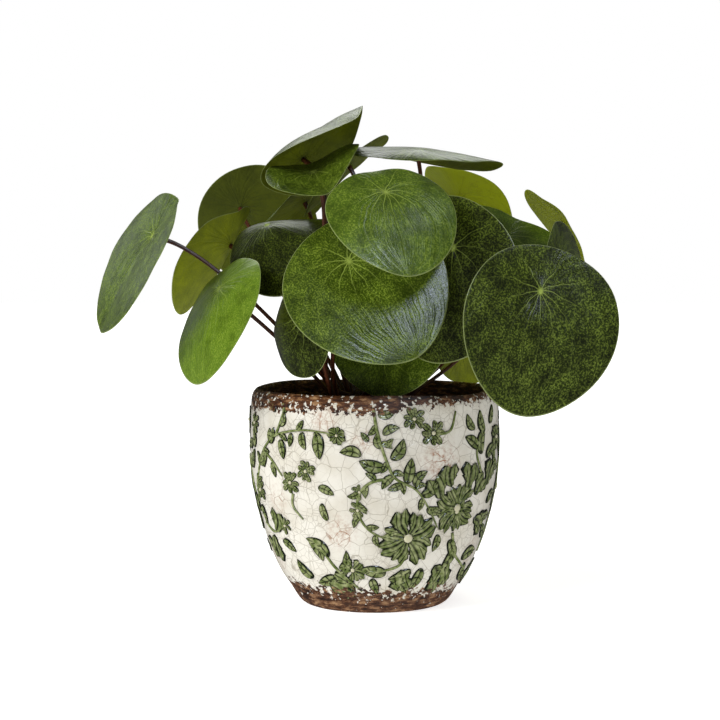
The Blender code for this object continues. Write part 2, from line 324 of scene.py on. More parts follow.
# ---- finishes -------------------------------------------------------------------------
@dataclass(frozen=True)
class CrackleEarthenware:
    """Brown earthenware under a white crackle glaze, worn off at the lip and the foot.

    A fired glaze is a coat of glass: it gives sharp soft-box highlights over an off-white
    body colour, while the bare clay beside it is matt and grainy.
    """

    glaze: str = "dfdbd0"
    shade: str = "cfc9ba"
    crack: str = "8f8674"
    rust: str = "9a6440"
    clay: str = "63391a"
    clay_dark: str = "200f05"
    clay_pale: str = "ab855c"
    cell: float = 8.5            # millimetres between the wide cracks
    fine_cell: float = 4.2       # and between the hair cracks
    crack_width: float = 0.17    # real hair cracks are finer; drawn as wide as shows
    crack_bend: float = 2.2      # how far a crack strays from a straight line
    crack_grain: float = 6.0     # length of one bend
    crack_colour: float = 0.6    # how much of the crack's colour shows
    hair_patch: float = 26.0     # size of the areas that have hair cracks
    cloud: float = 18.0          # size of the soft clouds in the glaze
    blot: float = 2.6            # size of the specks in a rusty stain
    top: float = 122.0           # height of the lip
    lip_wear: float = 8.0        # bare clay below the lip
    lip_slant: float = 0.035     # how much deeper it reaches for each millimetre to -X
    foot_wear: float = 13.5      # bare clay above the foot
    foot_tear: float = 0.9       # how much more ragged that edge is
    tooth: float = 3.2           # width of one tooth of the ragged edge
    raggedness: float = 20.0     # reach of the teeth
    swell: float = 34.0          # width of the slow waves of that edge
    swell_reach: float = 9.0     # and their reach
    thinning: tuple[float, float] = (-0.15, 0.25)    # the glaze thins out over this
    flake: float = 2.6           # size of the glaze flakes left on the clay
    streak: float = 7.0          # width of the brown streaks in the clay
    streak_stretch: float = 3.5  # they lie level
    grit: float = 1.3            # grain of the clay; sand as coarse as shows
    glazed: float = 0.22         # roughness of fired glaze
    matt: float = 0.72           # roughness of bare clay
    ior: float = 1.5             # of fired glaze, as of glass

    def bare(self, mix: Recipe, place: Socket) -> Socket:
        """Build the mask of where the clay is bare.

        Args:
            mix: the material being made.
            place: position in metres.

        Returns:
            1 on bare clay and 0 on glaze.
        """
        apart = mix.add("SeparateXYZ", {0: place}, out=2)
        axes = apart.node.outputs
        ragged = mix.add("TexNoise", {"Vector": place, "Scale": 1.0 / (self.tooth * MM),
                                      "Detail": 5.0, "Roughness": 0.62})
        ragged = mix.add("Math", {0: ragged, 1: 0.5}, operation="SUBTRACT")
        ragged = mix.add("Math", {0: ragged, 1: self.raggedness * MM}, operation="MULTIPLY")
        slow = mix.add("TexNoise", {"Vector": place, "Scale": 1.0 / (self.swell * MM),
                                    "Detail": 1.0})
        slow = mix.add("Math", {0: slow, 1: 0.5}, operation="SUBTRACT")
        slow = mix.add("Math", {0: slow, 1: self.swell_reach * MM, 2: ragged},
                       operation="MULTIPLY_ADD")
        level = mix.add("Math", {0: axes[2], 1: slow}, operation="ADD")
        tilt = mix.add("Math", {0: axes[0], 1: -self.lip_slant, 2: self.lip_wear * MM},
                       operation="MULTIPLY_ADD")
        edge = mix.add("Math", {0: self.top * MM, 1: tilt}, operation="SUBTRACT")
        lip = mix.add("Math", {0: level, 1: edge}, operation="SUBTRACT")
        torn = mix.add("Math", {0: ragged, 1: self.foot_tear, 2: level},
                       operation="MULTIPLY_ADD")
        foot = mix.add("Math", {0: self.foot_wear * MM, 1: torn}, operation="SUBTRACT")
        worn = mix.add("Math", {0: lip, 1: foot}, operation="MAXIMUM")
        thin, thick = self.thinning
        worn = mix.add("MapRange", {"Value": worn, 1: thin * MM, 2: thick * MM},
                       interpolation_type="SMOOTHSTEP")
        flake = mix.add("TexNoise", {"Vector": place, "Scale": 1.0 / (self.flake * MM),
                                     "Detail": 2.0})
        deep = mix.add("MapRange", {"Value": foot, 1: 0.0, 2: self.swell_reach * MM,
                                    3: 0.6, 4: 0.72})
        flake = mix.add("Math", {0: flake, 1: deep}, operation="LESS_THAN")
        return mix.add("Math", {0: worn, 1: flake}, operation="MULTIPLY")

    def clay_colour(self, mix: Recipe, place: Socket) -> Socket:
        """Build the bare clay's streaky brown.

        Args:
            mix: the material being made.
            place: position in metres.

        Returns:
            The colour.
        """
        streak = mix.add("Mapping", {"Vector": place,
                                     "Scale": (1.0, 1.0, self.streak_stretch)})
        grain = mix.add("TexNoise", {"Vector": streak, "Scale": 1.0 / (self.streak * MM),
                                     "Detail": 6.0, "Roughness": 0.7})
        colour = paint(self.clay_dark)
        for code, start, end in ((self.clay, 0.36, 0.56), (self.clay_pale, 0.52, 0.68)):
            share = mix.add("MapRange", {"Value": grain, 1: start, 2: end})
            colour = mix.add("Mix", {"Factor": share, 6: colour, 7: paint(code)}, out=2,
                             data_type="RGBA")
        return colour

    def cracks(self, mix: Recipe, place: Socket, cell: float) -> Socket:
        """Build the mask of one net of cracks.

        Args:
            mix: the material being made.
            place: position in metres.
            cell: distance between cracks in millimetres.

        Returns:
            1 in a crack and 0 beside it.
        """
        bend = mix.add("TexNoise", {"Vector": place,
                                    "Scale": 1.0 / (self.crack_grain * MM)}, out=1)
        bent = mix.add("VectorMath", {0: bend, 1: (self.crack_bend * MM,) * 3, 2: place},
                       operation="MULTIPLY_ADD")
        gap = mix.add("TexVoronoi", {"Vector": bent, "Scale": 1.0 / (cell * MM)},
                      feature="DISTANCE_TO_EDGE")
        half = self.crack_width / cell
        return mix.add("MapRange", {"Value": gap, 1: 0.3 * half, 2: half, 3: 1.0, 4: 0.0})

    def make(self) -> Material:
        """Build the material of the pot's shell."""
        mix = Recipe("crackle-glazed earthenware")
        place = mix.add("TexCoord", {}, out="Object")
        trim = mix.add("Attribute", {}, out="Vector", attribute_name="pot_trim")
        inside = mix.add("SeparateXYZ", {0: trim})
        stained = inside.node.outputs[1]
        soft = mix.add("TexNoise", {"Vector": place, "Scale": 1.0 / (self.cloud * MM),
                                    "Detail": 3.0})
        soft = mix.add("MapRange", {"Value": soft, 1: 0.42, 2: 0.72})
        patch = mix.add("TexNoise", {"Vector": place,
                                     "Scale": 1.0 / (self.hair_patch * MM)})
        patch = mix.add("MapRange", {"Value": patch, 1: 0.44, 2: 0.6, 3: 0.1, 4: 0.75})
        hair = mix.add("Math", {0: self.cracks(mix, place, self.fine_cell), 1: patch},
                       operation="MULTIPLY")
        line = mix.add("Math", {0: self.cracks(mix, place, self.cell), 1: hair},
                       operation="MAXIMUM")
        line = mix.add("Math", {0: line, 1: self.crack_colour}, operation="MULTIPLY")
        specks = mix.add("TexNoise", {"Vector": place, "Scale": 1.0 / (self.blot * MM),
                                      "Detail": 6.0, "Roughness": 0.75})
        specks = mix.add("MapRange", {"Value": specks, 1: 0.46, 2: 0.64, 4: 0.75})
        rust = mix.add("Math", {0: line, 1: specks}, operation="ADD")
        rust = mix.add("Math", {0: rust, 1: stained}, operation="MULTIPLY", use_clamp=True)
        bare = mix.add("Math", {0: self.bare(mix, place), 1: inside}, operation="MAXIMUM")
        colour = paint(self.glaze)
        for share, over in ((soft, paint(self.shade)), (line, paint(self.crack)),
                            (rust, paint(self.rust)), (bare, self.clay_colour(mix, place))):
            colour = mix.add("Mix", {"Factor": share, 6: colour, 7: over}, out=2,
                             data_type="RGBA")
        rough = mix.add("MapRange", {"Value": bare, 3: self.glazed, 4: self.matt})
        grit = mix.add("TexNoise", {"Vector": place, "Scale": 1.0 / (self.grit * MM),
                                    "Detail": 5.0, "Roughness": 0.7})
        grit = mix.add("Math", {0: grit, 1: bare}, operation="MULTIPLY")
        level = 0.0
        for part, rise in ((bare, -0.35), (grit, 0.8), (line, -0.12), (soft, 0.25)):
            level = mix.add("Math", {0: part, 1: rise, 2: level}, operation="MULTIPLY_ADD")
        bump = mix.add("Bump", {"Height": level, "Distance": MM, "Strength": 0.9})
        return mix.finish({"Base Color": colour, "Roughness": rough, "IOR": self.ior,
                           "Normal": bump})


@dataclass(frozen=True)
class GreenUnderglaze(CrackleEarthenware):
    """Green slip brushed on raised flowers under the same glaze.

    The colour pools dark in the hollows and along the outlines and thins to a paler
    green on the high places.
    """

    leaf: str = "5c6a33"
    thin: str = "9aa070"
    pooled: str = "0f1605"
    cream: str = "cfc9ac"
    glazed: float = 0.25
    wash: float = 3.0            # size of the brush's light and dark patches
    leaf_veins: float = 6.0      # slanting lines along each half of a leaf, two to a vein
    petal_lines: float = 5.0     # lines that fan out over each half of a petal
    hollow: float = 0.45         # depth of a dark line in millimetres

    def make(self) -> Material:
        """Build the material of the raised flowers and leaves."""
        mix = Recipe("green underglaze on relief")
        place = mix.add("TexCoord", {}, out="Object")
        ink = mix.add("Attribute", {}, out="Vector", attribute_name="ink")
        share = mix.add("SeparateXYZ", {0: ink})
        along, across = share.node.outputs[1], share.node.outputs[2]
        kind = mix.add("Attribute", {}, out="Vector", attribute_name="motif")
        petal = mix.add("SeparateXYZ", {0: kind})
        cream = petal.node.outputs[1]
        wash = mix.add("TexNoise", {"Vector": place, "Scale": 1.0 / (self.wash * MM),
                                    "Detail": 4.0})
        wash = mix.add("MapRange", {"Value": wash, 1: 0.4, 2: 0.68})
        wide = mix.add("Math", {0: across}, operation="ABSOLUTE")
        slope = mix.add("Math", {0: along, 1: -self.leaf_veins, 2: wide},
                        operation="MULTIPLY_ADD")
        fan = mix.add("Math", {0: across, 1: self.petal_lines}, operation="MULTIPLY")
        lines = mix.add("Mix", {"Factor": petal, 2: slope, 3: fan}, data_type="FLOAT")
        lines = mix.add("Math", {0: lines, 1: 1.0}, operation="PINGPONG")
        lines = mix.add("MapRange", {"Value": lines, 1: 0.08, 2: 0.3, 3: 1.0, 4: 0.0})
        rib = mix.add("MapRange", {"Value": wide, 1: 0.04, 2: 0.16, 3: 1.0, 4: 0.0})
        edge = mix.add("MapRange", {"Value": share, 1: 0.66, 2: 0.84})
        dark = mix.add("Math", {0: lines, 1: rib}, operation="MAXIMUM")
        broken = mix.add("MapRange", {"Value": wash, 3: 1.0, 4: 0.6})
        dark = mix.add("Math", {0: dark, 1: broken}, operation="MULTIPLY")
        dark = mix.add("Math", {0: dark, 1: edge}, operation="MAXIMUM")
        bare = self.bare(mix, place)
        colour = paint(self.leaf)
        for part, over in ((wash, paint(self.thin)), (dark, paint(self.pooled)),
                           (cream, paint(self.cream)), (bare, self.clay_colour(mix, place))):
            colour = mix.add("Mix", {"Factor": part, 6: colour, 7: over}, out=2,
                             data_type="RGBA")
        rough = mix.add("MapRange", {"Value": bare, 3: self.glazed, 4: self.matt})
        level = mix.add("Math", {0: dark, 1: -self.hollow}, operation="MULTIPLY")
        bump = mix.add("Bump", {"Height": level, "Distance": MM, "Strength": 0.9})
        return mix.finish({"Base Color": colour, "Roughness": rough, "IOR": self.ior,
                           "Normal": bump})


@dataclass(frozen=True)
class WaxyBlade:
    """Living leaf with a waxy upper side and a paler, duller underside.

    The wax gives a broad cool sheen; under it the cells make a fine yellow-green net on
    dark green, and the main veins run from the petiole in arcs that bend to the apex.
    A pale line round the margin is a painted rim highlight, the underside's yellow-green
    is partly painted light shining through the blade, and leaves that lie in shadow are
    painted darker.
    """

    deep: str = "0d1200"
    green: str = "2a3602"
    fresh: str = "56721a"
    speck: str = "8ba038"
    vein: str = "a0b450"
    # underside's yellow-green: partly its own colour, partly painted light shining through the
    # blade
    under: str = "8f9a02"
    under_deep: str = "323a00"
    under_vein: str = "1a1c04"
    # painted rim highlight: a pale line laid round the edge of both faces
    rim_highlight: str = "98a468"
    vein_turn: float = 31.0       # degrees between main veins where they leave the petiole
    vein_width: float = 0.2       # millimetres; drawn a little wider than the real vein
    vein_reach: tuple[float, float] = (2.0, 20.0)    # a vein fades between these
    vein_fade: tuple[float, float] = (0.8, 0.14)     # from this strength to this
    star: tuple[float, float] = (0.6, 2.4)           # pale spot over the petiole
    stray: float = 5.0            # how far a vein strays from its arc
    stray_scale: float = 0.07     # bends of a vein for each millimetre
    pleats: float = 5.0           # folds between two main veins
    pleat_stretch: float = 0.02   # how little a fold changes along its length
    net: float = 1.7              # millimetres across one mesh of the vein net
    fleck: float = 0.9            # millimetres across one light fleck
    mottle: float = 9.0           # millimetres between the light and dark clouds
    rim: tuple[float, float] = (0.986, 0.996)        # the painted rim highlight round the margin, shares of the blade
    rim_highlight_share: float = 0.6       # how much of the painted rim highlight shows
    waxy: float = 0.3             # roughness of the upper side
    dull: float = 0.62            # and of the underside
    ior: float = 1.45             # of leaf wax
    shine: float = 0.25           # thin wax mirrors less than glass does

    def make(self) -> Material:
        """Build the material of every blade."""
        mix = Recipe("waxy pilea leaf")
        spot = mix.add("Attribute", {}, out="Vector", attribute_name="leaf_place")
        tone = mix.add("Attribute", {}, out="Vector", attribute_name="leaf_tone")
        rim = mix.add("Attribute", {}, out="Vector", attribute_name="leaf_rim")
        share = mix.add("SeparateXYZ", {0: rim})
        side, reach = share.node.outputs[1], share.node.outputs[2]
        fresh = mix.add("SeparateXYZ", {0: tone})
        yellow_and_backlight, age_and_shade = fresh.node.outputs[1], fresh.node.outputs[2]
        vein, turn, from_joint = self.veins(mix, spot, reach)
        # leaves in shadow get fainter veins here: partly age, partly painted shade
        faint = mix.add("MapRange", {"Value": age_and_shade, 3: 1.0, 4: 0.35})
        fade = mix.add("MapRange", {"Value": from_joint, 1: self.vein_reach[0],
                                    2: self.vein_reach[1], 3: self.vein_fade[0],
                                    4: self.vein_fade[1]})
        for part in (fade, faint):
            vein = mix.add("Math", {0: vein, 1: part}, operation="MULTIPLY")
        star = mix.add("MapRange", {"Value": from_joint, 1: self.star[0],
                                    2: self.star[1], 3: 1.0, 4: 0.0})
        vein = mix.add("Math", {0: vein, 1: star}, operation="MAXIMUM")
        seed = mix.add("SeparateXYZ", {0: spot}, out=2)
        fan = mix.add("Math", {0: turn, 1: self.pleats}, operation="MULTIPLY")
        drawn = mix.add("Math", {0: from_joint, 1: self.pleat_stretch},
                        operation="MULTIPLY")
        fan = mix.add("CombineXYZ", {0: fan, 1: drawn, 2: seed})
        pleat = mix.add("TexNoise", {"Vector": fan, "Scale": 1.0, "Detail": 2.0,
                                     "Roughness": 0.5})
        net = mix.add("TexVoronoi", {"Vector": spot, "Scale": 1.0 / self.net,
                                     "Randomness": 1.0}, feature="DISTANCE_TO_EDGE")
        net = mix.add("MapRange", {"Value": net, 1: 0.02, 2: 0.22, 3: 1.0, 4: 0.0})
        grain = mix.add("TexNoise", {"Vector": spot, "Scale": 1.0 / self.fleck,
                                     "Detail": 3.0, "Roughness": 0.7})
        grain = mix.add("MapRange", {"Value": grain, 1: 0.47, 2: 0.58})
        patch = mix.add("TexNoise", {"Vector": spot, "Scale": 1.0 / self.mottle,
                                     "Detail": 5.0, "Roughness": 0.65})
        patch = mix.add("MapRange", {"Value": patch, 1: 0.36, 2: 0.64})
        speck = mix.add("Math", {0: net, 1: grain}, operation="MULTIPLY")
        speck = mix.add("Math", {0: grain, 1: 0.4, 2: speck}, operation="MULTIPLY_ADD",
                        use_clamp=True)
        # painted shade on leaves in shadow, partly age: fewer flecks and a less lively green
        for part, least, most in ((age_and_shade, 0.72, 0.25), (patch, 0.25, 1.0)):
            part = mix.add("MapRange", {"Value": part, 3: least, 4: most})
            speck = mix.add("Math", {0: speck, 1: part}, operation="MULTIPLY")
        lively = mix.add("MapRange", {"Value": age_and_shade, 3: 1.0, 4: 0.25})
        lively = mix.add("Math", {0: lively, 1: patch}, operation="MULTIPLY")
        youth = mix.add("Math", {0: patch, 1: 0.4, 2: 0.6}, operation="MULTIPLY_ADD")
        youth = mix.add("Math", {0: youth, 1: fresh}, operation="MULTIPLY")
        upper, lower = paint(self.deep), paint(self.under_deep)
        for part, code in ((lively, self.green), (youth, self.fresh), (speck, self.speck),
                           (vein, self.vein)):
            upper = mix.add("Mix", {"Factor": part, 6: upper, 7: paint(code)}, out=2,
                            data_type="RGBA")
        # painted light shining through the underside: its yellow-green grows with the leaf's
        # share
        cloud = mix.add("MapRange", {"Value": patch, 3: 0.75, 4: 1.2})
        cloud = mix.add("Math", {0: grain, 1: 0.25, 2: cloud}, operation="MULTIPLY_ADD")
        cloud = mix.add("Math", {0: cloud, 1: yellow_and_backlight}, operation="MULTIPLY", use_clamp=True)
        rib = mix.add("Math", {0: vein, 1: 0.6}, operation="MULTIPLY")
        # painted rim highlight: the pale line round the margin
        edge = mix.add("MapRange", {"Value": share, 1: self.rim[0], 2: self.rim[1]})
        edge = mix.add("Math", {0: edge, 1: self.rim_highlight_share}, operation="MULTIPLY")
        colour = lower
        for part, over in ((cloud, paint(self.under)), (rib, paint(self.under_vein)),
                           (side, upper), (edge, paint(self.rim_highlight))):
            colour = mix.add("Mix", {"Factor": part, 6: colour, 7: over}, out=2,
                             data_type="RGBA")
        rough = mix.add("MapRange", {"Value": side, 3: self.dull, 4: self.waxy})
        rough = mix.add("Math", {0: speck, 1: 0.12, 2: rough}, operation="MULTIPLY_ADD")
        sink = mix.add("MapRange", {"Value": side, 3: 0.22, 4: -0.16})
        level = mix.add("Math", {0: vein, 1: sink}, operation="MULTIPLY")
        for part, rise in ((net, 0.025), (patch, 0.12), (pleat, 0.7)):
            level = mix.add("Math", {0: part, 1: rise, 2: level}, operation="MULTIPLY_ADD")
        bump = mix.add("Bump", {"Height": level, "Distance": MM, "Strength": 0.8})
        return mix.finish({"Base Color": colour, "Roughness": rough, "IOR": self.ior,
                           "Specular IOR Level": self.shine, "Normal": bump})

    def veins(self, mix: Recipe, spot: Socket, reach: Socket) -> tuple[Socket, ...]:
        """Draw the main veins as arcs that run from the petiole to the apex.

        Each arc sees the petiole and the apex at one angle, so that angle numbers the arcs.

        Args:
            mix: the material being made.
            spot: place on the flat blade in millimetres, the petiole at 0, the apex on X.
            reach: distance between petiole and apex.

        Returns:
            1 on a vein, the number of the arc, and the distance from the petiole.
        """
        wander = mix.add("TexNoise", {"Vector": spot, "Scale": self.stray_scale}, out=1)
        wander = mix.add("VectorMath", {0: wander, 1: (0.5, 0.5, 0.5)},
                         operation="SUBTRACT")
        moved = mix.add("VectorMath", {0: wander, 1: (self.stray, self.stray, 0.0),
                                       2: spot}, operation="MULTIPLY_ADD")
        ahead = mix.add("SeparateXYZ", {0: moved})
        aside = mix.add("Math", {0: ahead.node.outputs[1]}, operation="ABSOLUTE")
        short = mix.add("Math", {0: ahead, 1: reach}, operation="SUBTRACT")
        first = mix.add("Math", {0: aside, 1: ahead}, operation="ARCTAN2")
        second = mix.add("Math", {0: aside, 1: short}, operation="ARCTAN2")
        leaving = mix.add("Math", {0: first, 1: second}, operation="SUBTRACT")
        leaving = mix.add("Math", {0: leaving, 1: math.pi}, operation="ADD")
        spacing = math.radians(self.vein_turn)
        turn = mix.add("Math", {0: leaving, 1: spacing}, operation="DIVIDE")
        nearest = mix.add("Math", {0: turn}, operation="ROUND")
        off = mix.add("Math", {0: turn, 1: nearest}, operation="SUBTRACT")
        off = mix.add("Math", {0: off}, operation="ABSOLUTE")
        level = mix.add("VectorMath", {0: moved, 1: (1.0, 1.0, 0.0)}, operation="MULTIPLY")
        from_joint = mix.add("VectorMath", {0: level}, out="Value", operation="LENGTH")
        tip = mix.add("CombineXYZ", {0: reach})
        from_tip = mix.add("VectorMath", {0: level, 1: tip}, out="Value",
                           operation="DISTANCE")
        wide = from_joint
        for step, part in (("MULTIPLY", from_tip), ("DIVIDE", reach),
                           ("MULTIPLY", spacing)):
            wide = mix.add("Math", {0: wide, 1: part}, operation=step)
        away = mix.add("Math", {0: off, 1: wide}, operation="MULTIPLY")
        vein = mix.add("MapRange", {"Value": away, 1: 0.3 * self.vein_width,
                                    2: 1.6 * self.vein_width, 3: 1.0, 4: 0.0})
        return vein, turn, from_joint


@dataclass(frozen=True)
class StreakySkin:
    """Skin of a stalk or stem: fine lines along it, over two tones of brown."""

    name: str
    dark: str
    light: str
    grain: float            # millimetres across one streak
    roughness: float
    depth: float            # of the streaks, millimetres

    def make(self) -> Material:
        """Build the material."""
        mix = Recipe(self.name)
        place = mix.add("Attribute", {}, out="Vector", attribute_name="stalk_place")
        streak = mix.add("TexNoise", {"Vector": place, "Scale": 1.0 / self.grain,
                                      "Detail": 4.0, "Roughness": 0.65})
        streak = mix.add("MapRange", {"Value": streak, 1: 0.35, 2: 0.68})
        colour = mix.add("Mix", {"Factor": streak, 6: paint(self.dark),
                                 7: paint(self.light)}, out=2, data_type="RGBA")
        rough = mix.add("MapRange", {"Value": streak, 3: self.roughness,
                                     4: self.roughness + 0.12})
        bump = mix.add("Bump", {"Height": streak, "Distance": self.depth * MM,
                                "Strength": 0.8})
        return mix.finish({"Base Color": colour, "Roughness": rough, "IOR": 1.45,
                           "Normal": bump})


@dataclass(frozen=True)
class Crumbly:
    """Loose matt grains, such as compost or perlite."""

    name: str
    dark: str
    light: str
    grain: float            # millimetres across one grain
    depth: float

    def make(self) -> Material:
        """Build the material."""
        mix = Recipe(self.name)
        place = mix.add("TexCoord", {}, out="Object")
        lumps = mix.add("TexNoise", {"Vector": place, "Scale": 1.0 / (self.grain * MM),
                                     "Detail": 8.0, "Roughness": 0.75})
        lumps = mix.add("MapRange", {"Value": lumps, 1: 0.35, 2: 0.7})
        colour = mix.add("Mix", {"Factor": lumps, 6: paint(self.dark),
                                 7: paint(self.light)}, out=2, data_type="RGBA")
        bump = mix.add("Bump", {"Height": lumps, "Distance": self.depth * MM})
        return mix.finish({"Base Color": colour, "Roughness": 0.9, "Normal": bump})


# ---- pot ------------------------------------------------------------------------------
class Stain(NamedTuple):
    """A rusty blot in the glaze: azimuth in degrees, the rest in millimetres."""

    azimuth: float
    height: float
    radius: float
    strength: float


@dataclass
class Pot:
    """The turned shell with its handmade lip."""

    nodes: Nodes
    node: str = "pot"
    sides_times: int = 4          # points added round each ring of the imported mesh
    step: float = 2.0             # millimetres between fine rings
    dent: float = 0.25            # unevenness of the clay
    dent_grain: float = 14.0      # width of one uneven spot
    lip_roll: tuple[float, float] = (-1.0, 3.0)     # the glaze ends here, along the wall
    stain_core: float = 0.2       # share of a stain that has its full strength
    stains: tuple[Stain, ...] = (
        Stain(-23, 109, 11, 0.8), Stain(-5, 98, 9, 0.7), Stain(30, 86, 17, 1.0),
        Stain(-17, 48, 14, 0.8), Stain(-52, 64, 14, 0.5), Stain(64, 30, 15, 0.6),
        Stain(-68, 30, 16, 0.7), Stain(112, 92, 18, 0.9), Stain(150, 50, 15, 0.8),
        Stain(196, 100, 14, 0.7), Stain(238, 70, 18, 0.8),
    )

    def measure(self) -> None:
        """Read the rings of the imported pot, from the foot over the lip to the inner floor."""
        cad = CadSkin(self.nodes[self.node])
        foot = [i for i, p in enumerate(cad.points) if p[2] < cad.points[:, 2].min() + WELD]
        rings = []
        for ring in cad.peel(foot):
            points = cad.points[ring]
            rings.append(points[np.argsort(np.arctan2(points[:, 1], points[:, 0]))])
        self.rings = np.array(rings)
        middle = self.rings.mean(axis=1)[:, 2]
        across = np.linalg.norm(self.rings[..., :2], axis=2).mean(axis=1)
        self.crest = int(np.argmax(middle))
        self.heights = middle[:self.crest + 1]
        self.radii = across[:self.crest + 1]
        lengths = np.hypot(np.diff(middle), np.diff(across))
        self.knots = np.concatenate([[0.0], np.cumsum(lengths)])

    def on_surface(self, azimuth: Array, height: Array, out: Array) -> Array:
        """Place points on the outside of the pot.

        Args:
            azimuth: degrees.
            height: millimetres above the ground.
            out: millimetres outside the surface.

        Returns:
            The points, xyz last.
        """
        angle = np.radians(azimuth)
        radius = np.interp(height, self.heights, self.radii)
        slope = (np.interp(height + 1.0, self.heights, self.radii)
                 - np.interp(height - 1.0, self.heights, self.radii)) / 2.0
        tilt = np.sqrt(1.0 + slope ** 2)
        radius = radius + out / tilt
        rise = height - out * slope / tilt
        return np.stack([radius * np.sin(angle), -radius * np.cos(angle), rise], axis=-1)

    def beside(self, azimuth: Array | float, right: Array, height: Array,
               out: Array) -> Array:
        """Place points on the outside of the pot, some way to the right of an azimuth.

        Args:
            azimuth: degrees.
            right: millimetres round the pot from there.
            height: millimetres above the ground.
            out: millimetres outside the surface.

        Returns:
            The points, xyz last.
        """
        radius = np.interp(height, self.heights, self.radii)
        return self.on_surface(azimuth + np.degrees(right / radius), height,
                               np.broadcast_to(out, height.shape))

    def build(self) -> None:
        """Make the smooth shell and its glaze."""
        wanted = np.linspace(0.0, self.knots[-1], int(self.knots[-1] / self.step))
        rings = rounded(spline(self.knots, self.rings, wanted), self.sides_times)
        crest = self.knots[self.crest]
        inside = smooth_step(wanted, *(crest + roll for roll in self.lip_roll))
        outward = rings.copy()
        outward[..., 2] = 0.0
        outward /= np.linalg.norm(outward, axis=2, keepdims=True)
        rings += outward * (self.dent * ripple(rings, self.dent_grain))[..., None]
        height = rings[..., 2]
        azimuth = np.degrees(np.arctan2(rings[..., 0], -rings[..., 1])) % 360.0
        stain = np.zeros(height.shape)
        for blot in self.stains:
            turn = (azimuth - blot.azimuth + 180.0) % 360.0 - 180.0
            far = np.hypot(np.radians(turn) * self.radii.max(), height - blot.height)
            stain = np.maximum(stain, blot.strength * (1.0 - smooth_step(
                far, self.stain_core * blot.radius, blot.radius)))
        trim = np.stack([np.repeat(inside[:, None], rings.shape[1], axis=1), stain,
                         np.zeros(height.shape)], axis=-1).reshape(-1, 3)
        low = np.array([0.0, 0.0, rings[0, :, 2].mean()])
        high = np.array([0.0, 0.0, rings[-1, :, 2].mean()])
        shell = Shape("pot_trim")
        shell.skin(rings, low, high, pot_trim=np.vstack([[0, 0, 0], trim, [1, 0, 0]]))
        shell.piece("pot_shell", CrackleEarthenware().make(), "pot", self.node)


class Form(Enum):
    """Outline of one raised motif."""

    LEAF = "pointed leaf"
    PETAL = "wide petal with a notched end"
    RAY = "slim petal of a small flower"
    BUD = "round bud"


class Motif(NamedTuple):
    """One raised leaf or petal; degrees and millimetres."""

    azimuth: float
    height: float
    length: float
    turn: float            # the way it points: 0 up, 90 to the right
    form: Form = Form.LEAF
    plump: float = 1.0


class Flower(NamedTuple):
    """One raised flower; degrees and millimetres."""

    azimuth: float
    height: float
    radius: float
    petals: int
    form: Form
    turn: float = 0.0


